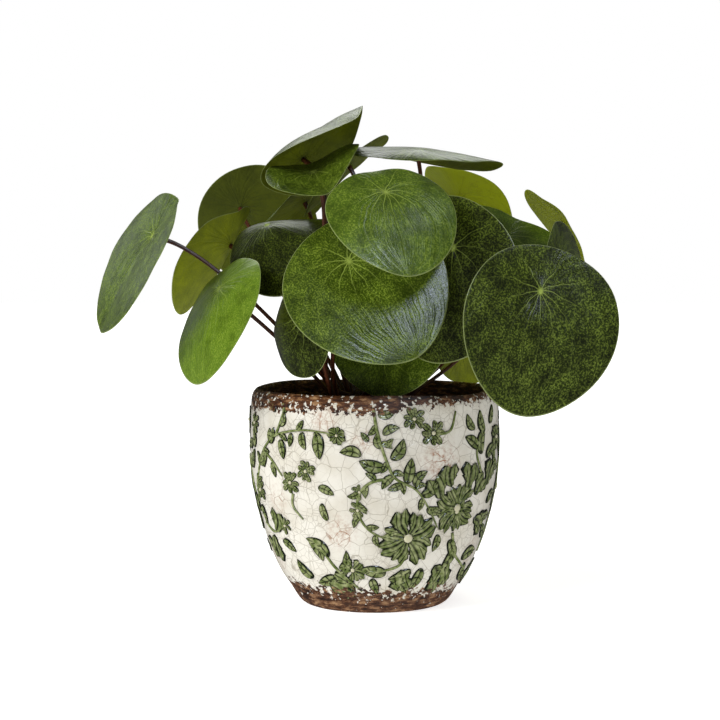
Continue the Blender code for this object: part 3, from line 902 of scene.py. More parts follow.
@dataclass
class Relief:
    """Flowers, leaves and vines raised on the pot, the same on both faces of it."""

    pot: Pot
    sides: int = 30
    growth: float = 1.1           # all motifs against the sizes below
    sink: float = -0.5            # the relief's back lies under the glaze
    proud: float = 0.85
    vine_width: float = 1.9
    sway: float = 7.0             # degrees by which petals stand unevenly
    bow: float = 0.12             # how far a leaf or petal bends, share of its length
    sprig: float = 6.5            # length of the small leaves on a vine
    sprig_step: int = 6           # places on a vine between them
    sprig_turn: float = 48.0      # degrees between a small leaf and its vine
    leafy: int = 5                # a vine with this many points carries them
    dome: tuple[tuple[float, float], ...] = (       # share of a motif's outline, and height
        (1.0, 0.0), (0.86, 0.8), (0.55, 1.0), (0.25, 0.85), (0.07, 0.5))
    knob: tuple[tuple[float, float], ...] = (       # the same for a flower's middle
        (1.0, 0.5), (0.8, 1.4), (0.4, 1.7))
    knob_size: float = 0.17       # radius of that middle, share of the flower's
    vine_sides: int = 8
    vine_taper: tuple[float, ...] = (1.0, 0.8, 0.45)     # at the foot, on the way, at the tip
    vines: tuple[tuple[tuple[float, float], ...], ...] = (
        ((-72, 60), (-66, 78), (-60, 90), (-50, 99), (-34, 103), (-20, 102)),
        ((-50, 99), (-47, 106), (-44, 115)),
        ((-60, 90), (-52, 84), (-46, 77)),
        ((-40, 68), (-41, 61), (-36, 54)),
        ((-1, 116), (1, 102), (5, 87), (9, 78), (18, 72), (24, 63), (31, 50)),
        ((5, 78), (-2, 76), (-7, 70), (-8, 60), (-4, 51), (3, 46), (9, 46)),
        ((28, 101), (35, 103), (38, 113)),
        ((-28, 38), (-22, 28), (-14, 20), (-8, 14)),
        ((16, 36), (12, 29), (0, 26), (-6, 28)),
        ((41, 46), (46, 34), (56, 26), (64, 22)),
        ((56, 78), (52, 90), (58, 104)),
        ((-69, 48), (-60, 44), (-48, 50)),
        ((78, 30), (84, 52), (80, 74), (88, 96), (96, 108)),
        ((92, 84), (100, 76), (104, 64)),
    )
    flowers: tuple[Flower, ...] = (
        Flower(16, 45, 15.5, 8, Form.PETAL, 20), Flower(-41, 74, 6.5, 8, Form.RAY),
        Flower(-32, 81, 6, 8, Form.RAY, 20), Flower(17, 110, 6.5, 8, Form.RAY, 10),
        Flower(26, 102, 7.5, 8, Form.RAY), Flower(-7, 71, 4.5, 6, Form.RAY),
        Flower(-8, 61, 5, 6, Form.RAY, 25), Flower(-17, 101, 5, 5, Form.PETAL, 70),
        Flower(41, 60, 14, 9, Form.PETAL, 10), Flower(41, 58, 8, 6, Form.PETAL, 35),
        Flower(-66, 67, 6, 7, Form.RAY), Flower(-49, 49, 5, 6, Form.RAY),
        Flower(-70, 104, 6, 7, Form.RAY), Flower(86, 66, 13, 5, Form.PETAL),
        Flower(94, 104, 6.5, 8, Form.RAY), Flower(-12, 27, 7, 5, Form.PETAL, 40),
        Flower(72, 96, 7, 6, Form.PETAL),
    )
    leaves: tuple[Motif, ...] = (
        Motif(-47, 97, 10, 165), Motif(-40, 101, 7, 190), Motif(-34, 102, 9, 165),
        Motif(-26, 102, 13, 175), Motif(-47, 104, 8, 25), Motif(-44, 111, 9, -10),
        Motif(-54, 94, 9, 20), Motif(-58, 90, 9, 190), Motif(-53, 84, 8, 160),
        Motif(-64, 82, 9, 60), Motif(-68, 76, 8, 200), Motif(-26, 73, 9, 115),
        Motif(-25, 64, 9, 165, Form.BUD, 0.7), Motif(-70, 58, 10, 160),
        Motif(1, 112, 9, 75), Motif(3, 102, 9, 70), Motif(4, 95, 6, 45),
        Motif(7, 88, 12, 30), Motif(2, 94, 8, -10), Motif(4, 84, 13, -75),
        Motif(-6, 91, 11, -85), Motif(8, 80, 9, -140), Motif(12, 75, 8, -110),
        Motif(14, 75, 13, 10, Form.LEAF, 0.9), Motif(17, 74, 10, 45),
        Motif(21, 68, 11, 50), Motif(-3, 98, 6, -40), Motif(24, 61, 9, 110),
        Motif(31, 66, 12, -25, Form.PETAL), Motif(46, 70, 13, 10, Form.PETAL),
        Motif(52, 66, 12, 45, Form.PETAL), Motif(36, 72, 11, -5, Form.PETAL),
        Motif(53, 92, 12, -60), Motif(55, 88, 14, 15), Motif(58, 100, 12, -20),
        Motif(60, 86, 12, 60), Motif(50, 102, 10, -35), Motif(64, 104, 10, 20),
        Motif(62, 70, 13, 30, Form.PETAL), Motif(66, 60, 12, 70),
        Motif(56, 52, 12, 120, Form.PETAL), Motif(40, 42, 11, 160),
        Motif(32, 46, 9, 190), Motif(46, 38, 13, -150), Motif(54, 30, 14, 80),
        Motif(60, 26, 12, 150), Motif(42, 30, 13, -170, Form.PETAL),
        Motif(34, 28, 15, 150, Form.PETAL), Motif(26, 27, 12, -160),
        Motif(20, 26, 12, -110), Motif(14, 27, 11, 165, Form.PETAL),
        Motif(6, 25, 13, -80), Motif(10, 20, 11, 130), Motif(-2, 22, 9, 160),
        Motif(-34, 44, 13, 155), Motif(-24, 34, 15, -55, Form.LEAF, 0.8),
        Motif(-17, 24, 13, 10, Form.LEAF, 0.7), Motif(-22, 22, 12, -110),
        Motif(-28, 18, 13, 100, Form.PETAL), Motif(-12, 14, 13, -60, Form.PETAL),
        Motif(-38, 20, 12, -40), Motif(-58, 44, 12, 20, Form.PETAL),
        Motif(-62, 42, 13, 190, Form.PETAL), Motif(-54, 40, 10, 120),
        Motif(-72, 40, 12, 150), Motif(-70, 90, 10, -20), Motif(-74, 78, 11, 20),
        Motif(-50, 112, 8, -60), Motif(78, 40, 13, -60), Motif(84, 50, 13, 60),
        Motif(76, 78, 12, -50), Motif(82, 82, 12, 60), Motif(88, 94, 11, -70),
        Motif(98, 92, 11, 80), Motif(102, 78, 11, 40), Motif(104, 64, 10, 160),
        Motif(80, 26, 13, 200, Form.PETAL), Motif(90, 34, 13, 90),
        Motif(96, 42, 12, 20), Motif(74, 52, 11, -100), Motif(70, 84, 11, -10),
    )

    def outline(self, form: Form, plump: float) -> tuple[Array, Array]:
        """Shape of a motif of length 1 that points up.

        Args:
            form: which outline.
            plump: width against the usual.

        Returns:
            The places along its axis and across it, round the outline.
        """
        angle = circle(self.sides)
        along = (1.0 - np.cos(angle)) / 2.0
        across = -np.sin(angle)
        if form is Form.LEAF:
            across = across * 0.3 * (1.0 - along) ** 0.35 * (1.0 + 0.25 * along)
        elif form is Form.PETAL:
            across = across * 0.6 * (0.35 + 0.9 * along) * (1.0 + 0.16 * np.cos(9.0 * angle))
            along = along * (1.0 + 0.13 * np.cos(5.0 * angle))
        elif form is Form.RAY:
            across = across * 0.2 * (0.7 + 0.5 * along)
        else:
            across = across * 0.34
        return along, across * plump

    def levels(self, profile: tuple[tuple[float, float], ...]) -> tuple[Array, Array]:
        """Return the shares and heights of the rings of a raised shape, its back first."""
        shares, rises = np.array([profile[0], *profile]).T
        return shares, np.concatenate([[self.sink], rises[1:] * self.proud])

    def emboss(self, work: Shape, spot: Motif, start: float = 0.0) -> None:
        """Raise one leaf or petal.

        Args:
            work: shape that it is added to.
            spot: the motif.
            start: millimetres between the spot and the foot of the petal.
        """
        along, across = self.outline(spot.form, spot.plump)
        turn = math.radians(spot.turn)
        shares, rises = self.levels(self.dome)
        ahead = np.where(shares[:, None] > 0.3, along, 0.08 + 0.84 * along)
        length = spot.length * self.growth
        ahead = start + length * (0.5 + (ahead - 0.5) * (0.9 + 0.1 * shares[:, None]))
        bow = self.bow * length * math.sin(1.3 * spot.azimuth + spot.turn)
        aside = length * across * shares[:, None] + bow * 4.0 * along * (1.0 - along)
        right = aside * math.cos(turn) + ahead * math.sin(turn)
        up = ahead * math.cos(turn) - aside * math.sin(turn)
        height = np.clip(spot.height + up, 1.0, self.pot.heights[-3])
        rings = self.pot.beside(spot.azimuth, right, height, rises[:, None])
        flat = np.broadcast_to(across / (np.abs(across).max() + 1e-9), rings.shape[:2])
        ink = np.stack([np.repeat(shares[:, None], self.sides, axis=1),
                        np.broadcast_to(along, rings.shape[:2]),
                        flat * shares[:, None]], axis=-1).reshape(-1, 3)
        petal = 1.0 if spot.form is Form.PETAL else 0.0
        kind = np.tile([petal, 0.0, 0.0], (rings.shape[0] * rings.shape[1] + 2, 1))
        work.skin(rings, ink=np.vstack([[1, 0, 0], ink, [0, 0.5, 0]]), motif=kind)

    def boss(self, work: Shape, flower: Flower) -> None:
        """Raise the round middle of a flower."""
        size = self.knob_size * flower.radius
        angle = circle(self.sides)
        shares, rises = self.levels(self.knob)
        wide = size * shares[:, None]
        rings = self.pot.beside(flower.azimuth, -wide * np.sin(angle),
                                flower.height + wide * np.cos(angle), rises[:, None])
        count = rings.shape[0] * rings.shape[1] + 2
        cream = np.tile([0.0, 0.85, 0.0], (count, 1))
        ink = np.tile([0.0, 0.5, 0.5], (count, 1))
        ink[:1 + self.sides * 2, 0] = 1.0
        work.skin(rings, ink=ink, motif=cream)

    def sprigs(self, run: Array, way: Array, turn: float) -> list[Motif]:
        """Place small leaves to the left and right along a vine.

        Args:
            run: azimuths and heights along the vine.
            way: its direction at each of them, sideways and up.
            turn: degrees that the pattern is turned round the pot.

        Returns:
            The leaves.
        """
        heading = np.degrees(np.arctan2(way[:, 0], way[:, 1]))
        spots = range(self.sprig_step, len(run) - 2, self.sprig_step)
        lean = [self.sprig_turn if k // self.sprig_step % 2 else -self.sprig_turn
                for k in spots]
        return [Motif(run[k, 0] + turn, run[k, 1], self.sprig, heading[k] + tilt)
                for k, tilt in zip(spots, lean)]

    def vine(self, work: Shape, leaves: Shape, path: tuple[tuple[float, float], ...],
             turn: float) -> None:
        """Raise one vine, and small leaves on it where it is long.

        Args:
            work: shape that the vine is added to.
            leaves: shape that its leaves are added to.
            path: azimuths and heights along it.
            turn: degrees that the pattern is turned round the pot.
        """
        ends = np.array(path, dtype=float)
        wanted = np.linspace(0.0, len(path) - 1.0, 8 * len(path))
        run = spline(np.arange(len(path), dtype=float), ends, wanted)
        across = self.pot.radii.max() * np.radians(run[:, 0])
        way = np.stack([np.gradient(across), np.gradient(run[:, 1])], axis=1)
        way /= np.linalg.norm(way, axis=1, keepdims=True)
        if len(path) >= self.leafy:
            for leaf in self.sprigs(run, way, turn):
                self.emboss(leaves, leaf)
        angle = circle(self.vine_sides)
        thin = np.interp(wanted, [0.0, 0.6 * wanted[-1], wanted[-1]], self.vine_taper)
        wide = self.vine_width / 2.0 * thin[:, None] * np.cos(angle)
        rise = np.maximum(self.sink, self.proud * 1.1 * np.sin(angle))
        height = run[:, 1:] + wide * -way[:, :1]
        rings = self.pot.beside(run[:, :1] + turn, wide * way[:, 1:], height, rise)
        ink = np.zeros(rings.shape)
        ink[..., 0] = 1.0 - 0.75 * np.clip(np.sin(angle), 0.0, 1.0)
        ink[..., 1] = 0.5
        ink[..., 2] = 0.5
        kind = np.zeros((rings.shape[0] * rings.shape[1] + 2, 3))
        work.skin(rings, ink=np.vstack([[1, 0, 0], ink.reshape(-1, 3), [1, 0, 0]]),
                  motif=kind)

    def build(self) -> None:
        """Raise the whole pattern on the front face and again on the back face."""
        finish = GreenUnderglaze().make()
        for face, turn in (("front", 0.0), ("back", 180.0)):
            vines, leaves, flowers = (Shape("ink", "motif") for _ in range(3))
            for path in self.vines:
                self.vine(vines, leaves, path, turn)
            for spot in self.leaves:
                self.emboss(leaves, spot._replace(azimuth=spot.azimuth + turn))
            for flower in self.flowers:
                flower = flower._replace(azimuth=flower.azimuth + turn)
                length = flower.radius * 0.85
                for k in range(flower.petals):
                    way = (flower.turn + 360.0 * k / flower.petals
                           + self.sway * math.sin(2.4 * k + flower.azimuth))
                    plump = 5.5 / flower.petals if flower.form is Form.PETAL else 1.5
                    self.emboss(flowers, Motif(flower.azimuth, flower.height,
                                               length * (1.0 if k % 2 else 0.85), way,
                                               flower.form, plump), 0.12 * flower.radius)
                self.boss(flowers, flower)
            for kind, work in (("vines", vines), ("leaves", leaves), ("flowers", flowers)):
                work.piece(f"relief_{kind}_{face}", finish, "pot")


# ---- soil -----------------------------------------------------------------------------
@dataclass
class SoilBed:
    """Compost with crumbs and a few perlite grains lying on it."""

    nodes: Nodes
    node: str = "soil"
    sides: int = 120
    rings: int = 34
    rough: float = 0.9            # unevenness of the surface, millimetres
    clods: tuple[float, float] = (5.0, 2.2)     # millimetres across large and small clods
    small_share: float = 0.6      # height of the small ones against the large
    crumb_sides: int = 7
    crumbs: int = 420
    perlite: int = 46

    def build(self) -> None:
        """Make the bed, its crumbs and its perlite."""
        low, high = (np.array(corner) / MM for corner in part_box(self.node))
        radius = (high[0] - low[0]) / 2.0
        cad = CadSkin(self.nodes[self.node])
        across = np.linalg.norm(cad.points[:, :2], axis=1)
        order = np.argsort(cad.points[:, 2])
        heights, radii = [], []
        for i in order:
            if across[i] > 0.55 * radius and (not heights
                                              or cad.points[i, 2] > heights[-1] + 1.0):
                heights.append(cad.points[i, 2])
                radii.append(across[i])
        rim = heights[-1] if radii[-1] > 0.8 * radius else heights[-2]
        edge = max(r for h, r in zip(heights, radii) if h <= rim + WELD)
        self.top, self.edge = rim, edge
        angle = circle(self.sides)
        wall = [(r, h) for h, r in zip(heights, radii) if h < rim - WELD]
        shares = np.linspace(1.0, 0.03, self.rings)
        bed = [(edge * s, rim + (high[2] - rim) * (1.0 - s)) for s in shares]
        rings = np.array([[(r * math.cos(a), r * math.sin(a), h) for a in angle]
                          for r, h in wall + bed])
        large, small = (ripple(rings, grain) for grain in self.clods)
        lump = large + self.small_share * small
        fade = np.concatenate([np.zeros(len(wall)), np.clip((1.0 - shares) * 12, 0, 1)])
        rings[..., 2] += self.rough * (lump - 0.2) * fade[:, None]
        work = Shape()
        work.skin(rings, np.array([0.0, 0.0, rings[0, 0, 2]]),
                  np.array([0.0, 0.0, rings[-1, :, 2].mean()]))
        compost = Crumbly("potting compost", "120a06", "3c281a", 2.4, 0.8).make()
        work.piece("soil_bed", compost, "soil", self.node)
        self.scatter("soil_crumbs", self.crumbs, (0.7, 2.2), compost, 11)
        white = Crumbly("perlite grains", "a9a193", "e4dfd2", 0.9, 0.2).make()
        self.scatter("soil_perlite", self.perlite, (0.6, 1.4), white, 5)

    def scatter(self, name: str, count: int, sizes: tuple[float, float],
                finish: Material, seed: int) -> None:
        """Lay lumps on the bed.

        Args:
            name: name of the piece.
            count: how many lumps.
            sizes: smallest and largest radius in millimetres.
            finish: material.
            seed: start of the random numbers.
        """
        dice = np.random.default_rng(seed)
        work = Shape()
        angle = circle(self.crumb_sides)
        tilt = np.array([-0.9, -0.3, 0.35, 0.9])
        for _ in range(count):
            size = dice.uniform(*sizes)
            far = (self.edge - 3.0) * math.sqrt(dice.uniform(0.0, 1.0))
            way = dice.uniform(0.0, 2.0 * math.pi)
            middle = np.array([far * math.cos(way), far * math.sin(way),
                               self.top + 1.5 * (1.0 - far / self.edge) + 0.15 * size])
            wide = np.cos(tilt * 1.2)[:, None]
            rings = np.stack([wide * np.cos(angle), wide * np.sin(angle),
                              np.repeat(tilt[:, None], self.crumb_sides, axis=1)], axis=-1)
            rings *= dice.uniform(0.75, 1.2, rings.shape[:2])[..., None]
            rings *= size * dice.uniform(0.6, 1.1, 3)
            rings += middle
            work.skin(rings, rings[0].mean(axis=0) - [0, 0, 0.1 * size],
                      rings[-1].mean(axis=0) + [0, 0, 0.1 * size])
        work.piece(name, finish, "soil")


# ---- plant ----------------------------------------------------------------------------
@dataclass
class Stem:
    """Short woody stem with the scars of older leaves."""

    nodes: Nodes
    node: str = "stem"
    sides: int = 28
    rings: int = 40
    scar_gap: float = 3.2         # millimetres between two scars
    scar: float = 0.35            # how far a scar stands out
    scar_slant: float = 1.4       # how much a scar tilts round the stem
    crown: float = 0.9            # share of the height where the top rounds off
    flatten: float = 0.4          # streaks run this much slower up than round

    def build(self) -> None:
        """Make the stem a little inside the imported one."""
        low, high = (np.array(corner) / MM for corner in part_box(self.node))
        middle = (low + high) / 2.0
        cad = CadSkin(self.nodes[self.node]).points
        upper = cad[cad[:, 2] > low[2] + 0.85 * (high[2] - low[2])]
        foot = (high[0] - low[0]) / 2.0
        top = np.linalg.norm(upper[:, :2] - middle[:2], axis=1).max()
        share = np.linspace(0.0, 1.0, self.rings)
        angle = circle(self.sides)
        radius = foot + (top - foot) * share - self.scar
        past = np.clip((share - self.crown) / 0.11, 0, 1)
        radius = radius * np.sqrt(np.clip(1.0 - past ** 2, 0.04, 1.0))
        rise = low[2] + (high[2] - low[2]) * share
        scars = np.maximum(0.0, np.sin(2 * math.pi * rise[:, None] / self.scar_gap
                                       + self.scar_slant * np.sin(angle))) ** 3
        radius = radius[:, None] + self.scar * scars
        rings = np.stack([middle[0] + radius * np.cos(angle),
                          middle[1] + radius * np.sin(angle),
                          np.repeat(rise[:, None], self.sides, axis=1)], axis=-1)
        place = rings.reshape(-1, 3) * [1.0, 1.0, self.flatten]
        low_end = np.array([middle[0], middle[1], rise[0]])
        high_end = np.array([middle[0], middle[1], rise[-1]])
        work = Shape("stalk_place")
        work.skin(rings, low_end, high_end,
                  stalk_place=np.vstack([low_end, place, high_end]))
        bark = StreakySkin("woody green-brown stem", "2a1a10", "5c4a30", 1.6, 0.6, 0.3)
        work.piece("plant_stem", bark.make(), "stem", self.node)


class Tone(NamedTuple):
    """Colouring of one leaf, each from 0 to 1."""

    fresh: float = 0.12       # how young and light the upper side is
    yellow_and_backlight: float = 0.3         # how yellow the underside is: partly its own colour, partly painted light shining through it
    age_and_shade: float = 0.3          # how dark and plain the upper side is: partly age, partly painted shade on leaves in shadow


class Leaf(NamedTuple):
    """What is read from one packed blade; millimetres."""

    layers: list[Array]       # the underside and the upper side as fine rings
    centre: Array
    normal: Array             # out of the upper side
    ahead: Array              # from the petiole to the apex
    aside: Array
    reach: float
    thickness: float
    joint: Array              # where the petiole meets the underside


@dataclass
class Foliage:
    """All the leaves: round blades, each on its own stalk."""

    nodes: Nodes
    count: int = 26
    sides: int = 24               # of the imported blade
    stalk_sides: int = 6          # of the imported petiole
    times: int = 3
    shares: tuple[float, ...] = (0.0, 0.08, 0.40, 0.72, 1.0)
    fine: tuple[float, ...] = (0.04, 0.08, 0.14, 0.22, 0.31, 0.40, 0.50, 0.60, 0.70, 0.79,
                               0.87, 0.93, 0.97, 0.99, 1.0)
    edge_thickness: float = 0.4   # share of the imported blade's thickness at the margin
    edge_round: float = 0.03      # share of the blade over which the margin rounds off
    film: float = 0.02            # millimetres that are left at the very edge
    quilt: float = 0.35           # millimetres between hollows and swellings
    quilt_grain: float = 11.0     # millimetres across one of them
    frill: float = 0.5            # millimetres of waviness at the margin
    frills: float = 5.0           # waves round it
    dimple: float = 0.6           # millimetres that the blade dips over its petiole
    dimple_size: float = 0.07     # share of the blade that the dip takes up
    apart: float = 40.0           # millimetres between two leaves in the pattern's space
    rib: float = 0.03             # ridges along a stalk, share of its radius
    drawn: float = 0.12           # streaks run this much slower along it than round
    # per leaf: youth; underside yellow with painted light through it; age with painted shade
    tones: tuple[tuple[int, Tone], ...] = (
        (1, Tone(0.7, 0.3, 0.0)), (2, Tone(0.35, 0.3, 0.0)), (3, Tone(0.04, 0.3, 0.45)),
        (4, Tone(0.0, 0.3, 0.6)), (5, Tone(0.4, 0.3, 0.0)), (6, Tone(0.0, 0.3, 0.9)),
        (7, Tone(1.2, 0.4, 0.0)), (8, Tone(0.45, 0.3, 0.3)), (9, Tone(0.0, 0.3, 0.9)),
        (10, Tone(0.3, 0.3, 0.3)), (11, Tone(0.1, 0.22, 0.5)), (12, Tone(0.3, 0.2, 0.5)),
        (13, Tone(0.8, 0.3, 0.0)), (15, Tone(0.2, 1.0)), (16, Tone(0.4, 0.6)),
        (17, Tone(0.2, 0.15)),
        (21, Tone(0.2, 1.0)), (22, Tone(0.1, 0.5)), (23, Tone(0.5, 0.4)),
        (25, Tone(0.4, 0.5)),
    )

    def read(self, number: int) -> Leaf:
        """Read the two faces of a packed blade as fine rings.

        Args:
            number: which leaf.

        Returns:
            Its faces and measures.
        """
        cad = CadSkin(self.nodes[f"blade_{number:02d}"])
        stalk = CadSkin(self.nodes[f"petiole_{number:02d}"]).points
        poles = cad.poles()
        gaps = [np.linalg.norm(stalk - cad.points[p], axis=1).min() for p in poles]
        under, upper = (poles[i] for i in np.argsort(gaps))
        normal = cad.points[upper] - cad.points[under]
        thickness = float(np.linalg.norm(normal))
        normal /= thickness
        centre = (cad.points[upper] + cad.points[under]) / 2.0
        faces = [[cad.points[ring] for ring in cad.peel([pole])[1:len(self.shares)]]
                 for pole in (under, upper)]
        far = [p - centre for p in faces[0][-1]]
        tip = max(far, key=lambda p: float(np.linalg.norm(p - normal * (p @ normal))))
        ahead = tip - normal * (tip @ normal)
        reach = float(np.linalg.norm(ahead))
        ahead /= reach
        aside = np.cross(normal, ahead)
        layers = []
        for pole, rings in zip((under, upper), faces):
            ordered = []
            for ring in rings:
                local = ring - centre
                turn = np.arctan2(local @ aside, local @ ahead)
                turn = (turn + math.pi / self.sides) % (2.0 * math.pi)
                ordered.append(ring[np.argsort(turn)])
            grid = rounded(np.array(ordered), self.times)
            back = np.roll(grid[0], grid.shape[1] // 2, axis=0)
            start = np.tile(cad.points[pole], (grid.shape[1], 1))
            layers.append(spline(np.array([-self.shares[1], *self.shares]),
                                 np.concatenate([[back], [start], grid]),
                                 np.array(self.fine)))
        return Leaf(layers, centre, normal, ahead, aside, reach, thickness,
                    cad.points[under])

    def blade(self, number: int, finish: Material) -> Array:
        """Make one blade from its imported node.

        Args:
            number: which leaf.
            finish: material.

        Returns:
            The joint on the underside.
        """
        name = f"blade_{number:02d}"
        leaf = self.read(number)
        middle = (leaf.layers[0] + leaf.layers[1]) / 2.0
        share = np.array(self.fine)[:, None]
        local = middle - leaf.centre
        flat = np.stack([local @ leaf.ahead, local @ leaf.aside,
                         np.full(middle.shape[:2], self.apart * number)], axis=-1)
        angle = np.arctan2(flat[..., 1], flat[..., 0])
        soft = ripple(flat, self.quilt_grain) * self.quilt * share
        wave = self.frill * share ** 6 * np.sin(self.frills * angle + number * 1.7)
        dimple = -self.dimple * np.exp(-(share / self.dimple_size) ** 2)
        middle = middle + leaf.normal * (soft + wave + dimple)[..., None]
        half = leaf.thickness / 2.0 * (1.0 - (1.0 - self.edge_thickness) * share ** 3)
        half = half * np.sqrt(np.clip((1.0 - share) / self.edge_round, 0.0, 1.0)) + self.film
        below = middle - leaf.normal * half[..., None]
        above = middle + leaf.normal * half[..., None]
        values = np.concatenate([flat, flat[::-1]]).reshape(-1, 3)
        wide = np.broadcast_to(share, middle.shape[:2])
        lower, higher = (np.stack([wide, np.full(wide.shape, face),
                                   np.full(wide.shape, leaf.reach)], axis=-1)
                         for face in (0.0, 1.0))
        rim = np.concatenate([lower, higher[::-1]]).reshape(-1, 3)
        tone = dict(self.tones).get(number, Tone())
        seed = [0.0, 0.0, self.apart * number]
        work = Shape("leaf_place", "leaf_rim", "leaf_tone")
        work.skin(np.concatenate([below, above[::-1]]),
                  leaf_place=np.vstack([seed, values, seed]),
                  leaf_rim=np.vstack([[0, 0, leaf.reach], rim, [0, 1, leaf.reach]]),
                  leaf_tone=np.tile([tone.fresh, tone.yellow_and_backlight, tone.age_and_shade],
                                    (len(values) + 2, 1)))
        work.piece(f"leaf_{name}", finish, "blade", name)
        return leaf.joint

    def petiole(self, number: int, joint: Array, finish: Material) -> None:
        """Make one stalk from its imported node.

        Args:
            number: which leaf.
            joint: where the stalk meets the blade.
            finish: material.
        """
        name = f"petiole_{number:02d}"
        cad = CadSkin(self.nodes[name])
        levels = cad.peel(cad.nearest(joint, self.stalk_sides))
        if any(len(level) != self.stalk_sides for level in levels):
            raise ValueError(f"{name} isn't a tube of rings: {[len(v) for v in levels]}")
        rings = [cad.points[level] for level in reversed(levels)]
        middle = np.array([ring.mean(axis=0) for ring in rings])
        radius = np.array([np.linalg.norm(ring - m, axis=1).mean()
                           for ring, m in zip(rings, middle)])
        knots = np.arange(len(rings), dtype=float)
        wanted = np.linspace(0.0, knots[-1], 4 * len(rings))
        line = spline(knots, middle, wanted)
        thick = spline(knots, radius, wanted)
        along = np.gradient(line, axis=0)
        along /= np.linalg.norm(along, axis=1, keepdims=True)
        count = 2 * self.stalk_sides
        angle = circle(count)
        side = np.array(Vector(along[0]).orthogonal().normalized())
        made, places = [], []
        run = np.concatenate([[0.0], np.cumsum(np.linalg.norm(np.diff(line, axis=0),
                                                              axis=1))])
        for spot, way, size, far in zip(line, along, thick, run):
            side = side - way * (side @ way)
            side /= np.linalg.norm(side)
            other = np.cross(way, side)
            ribs = size * (1.0 + self.rib * np.cos(4.0 * angle))
            made.append(spot + np.outer(ribs * np.cos(angle), side)
                        + np.outer(ribs * np.sin(angle), other))
            places.append(np.stack([2.0 * size * np.cos(angle), 2.0 * size * np.sin(angle),
                                    np.full(count, self.drawn * far + 20.0 * number)],
                                   axis=1))
        made, places = np.array(made), np.array(places).reshape(-1, 3)
        work = Shape("stalk_place")
        work.skin(made, line[0], line[-1],
                  stalk_place=np.vstack([[0, 0, 0], places, [0, 0, 0]]))
        work.piece(f"leaf_{name}", finish, "petiole", name)

    def build(self) -> None:
        """Make every leaf."""
        blade = WaxyBlade().make()
        stalk = StreakySkin("smooth red-brown leaf stalk", "2b1109", "6a3a22", 1.1, 0.34,
                            0.12).make()
        for number in range(1, self.count + 1):
            self.petiole(number, self.blade(number, blade), stalk)


# ---- studio ---------------------------------------------------------------------------
class Lamp(NamedTuple):
    """A soft box: place and aim in metres, size in metres, power in watts."""

    name: str
    place: tuple[float, float, float]
    size: tuple[float, float]
    power: float
    tint: str


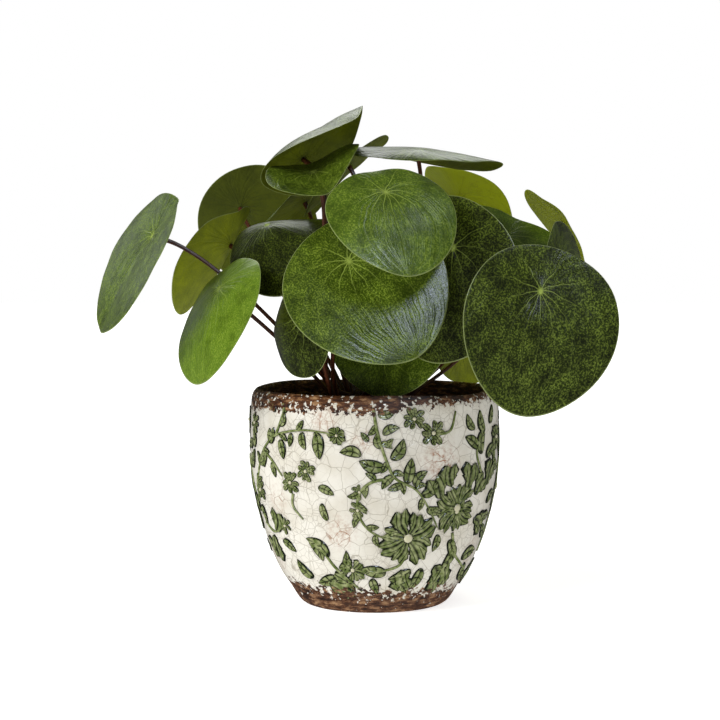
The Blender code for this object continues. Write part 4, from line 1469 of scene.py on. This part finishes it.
@dataclass
class Studio:
    """Plain pale floor, soft boxes, even room light and the camera."""

    eye: tuple[float, float, float] = (-0.0082, -1.0, 0.1974)
    pitch: float = 3.44           # degrees that the camera looks down
    lens: float = 87.93           # millimetres on a 36 mm sensor
    room: float = 0.28            # strength of the even light
    backdrop: float = 1.0         # and of the plain white that stands behind
    mirrored: float = 0.45        # share of the even light that shows in reflections
    key: float = 2.4              # strength of the broad key light
    key_softness: float = 40.0    # degrees that it covers in the sky
    key_from: tuple[float, float, float] = (-0.72, -0.42, 0.62)
    floor_glow: float = 0.75      # keeps the floor as plain as the room
    aim: tuple[float, float, float] = (0.0, 0.0, 0.14)
    lamps: tuple[Lamp, ...] = (
        Lamp("back left", (-0.8, 0.75, 0.55), (0.4, 0.4), 0.4, "f2f6ff"),
        Lamp("back", (-0.1, 0.95, 0.85), (0.9, 0.35), 3.6, "f2f6ee"),
        Lamp("front", (0.27, -1.0, 0.66), (0.1, 0.2), 10.0, "dfeaff"),
        Lamp("top right", (0.55, -0.35, 1.0), (0.15, 0.2), 2.0, "e8f1ff"),
    )

    def build(self) -> None:
        """Set up the floor, the lights, the room and the camera."""
        scene = bpy.context.scene
        floor = bpy.data.meshes.new("floor")
        floor.from_pydata([(-4, -4, 0), (4, -4, 0), (4, 6, 0), (-4, 6, 0)], [],
                          [(0, 1, 2, 3)])
        mix = Recipe("matt white studio floor")
        place = mix.add("TexCoord", {}, out="Object")
        tone = mix.add("TexNoise", {"Vector": place, "Scale": 3.0})
        colour = mix.add("Mix", {"Factor": tone, 6: paint("f4f4f2"), 7: paint("fafaf8")},
                         out=2, data_type="RGBA")
        floor.materials.append(mix.finish({
            "Base Color": colour, "Roughness": 0.9, "Emission Color": paint("ffffff"),
            "Emission Strength": self.floor_glow}))
        ground = bpy.data.objects.new("floor", floor)
        scene.collection.objects.link(ground)
        ground.visible_glossy = False
        sun = bpy.data.objects.new("key", bpy.data.lights.new("key", "SUN"))
        sun.data.energy = self.key
        sun.data.angle = math.radians(self.key_softness)
        sun.visible_glossy = False
        sun.rotation_euler = Vector(self.key_from).to_track_quat("Z", "Y").to_euler()
        scene.collection.objects.link(sun)
        for lamp in self.lamps:
            light = bpy.data.lights.new(lamp.name, "AREA")
            light.shape = "RECTANGLE"
            light.size, light.size_y = lamp.size
            light.energy = lamp.power
            light.color = paint(lamp.tint)[:3]
            holder = bpy.data.objects.new(lamp.name, light)
            holder.location = lamp.place
            aim = Vector(self.aim) - Vector(lamp.place)
            holder.rotation_euler = aim.to_track_quat("-Z", "Y").to_euler()
            holder.visible_camera = False
            holder.visible_diffuse = False
            scene.collection.objects.link(holder)
        world = bpy.data.worlds.new("room")
        world.use_nodes = True
        graph = Graph(world.node_tree)
        seen = graph.add("LightPath", {}, out="Is Camera Ray")
        glossy = seen.node.outputs["Is Glossy Ray"]
        level = graph.add("MapRange", {"Value": seen, 3: self.room, 4: self.backdrop})
        share = graph.add("MapRange", {"Value": glossy, 3: 1.0, 4: self.mirrored})
        level = graph.add("Math", {0: level, 1: share}, operation="MULTIPLY")
        graph.join(world.node_tree.nodes["Background"],
                   {"Color": paint("ffffff"), "Strength": level})
        scene.view_settings.view_transform = "Standard"
        scene.world = world
        camera = bpy.data.objects.new("camera", bpy.data.cameras.new("camera"))
        camera.data.lens = self.lens
        camera.location = self.eye
        camera.rotation_euler = (math.radians(90.0 - self.pitch), 0.0, 0.0)
        scene.collection.objects.link(camera)
        scene.camera = camera


def main() -> None:
    """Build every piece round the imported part."""
    logging.basicConfig(level=logging.INFO, format="%(name)s: %(message)s")
    for thing in list(bpy.data.objects):
        bpy.data.objects.remove(thing, do_unlink=True)
    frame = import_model()
    nodes = frame["nodes"]
    pot = Pot(nodes)
    pot.measure()
    pot.build()
    Relief(pot).build()
    SoilBed(nodes).build()
    Stem(nodes).build()
    Foliage(nodes).build()
    Studio().build()


if __name__ == "__main__":
    main()
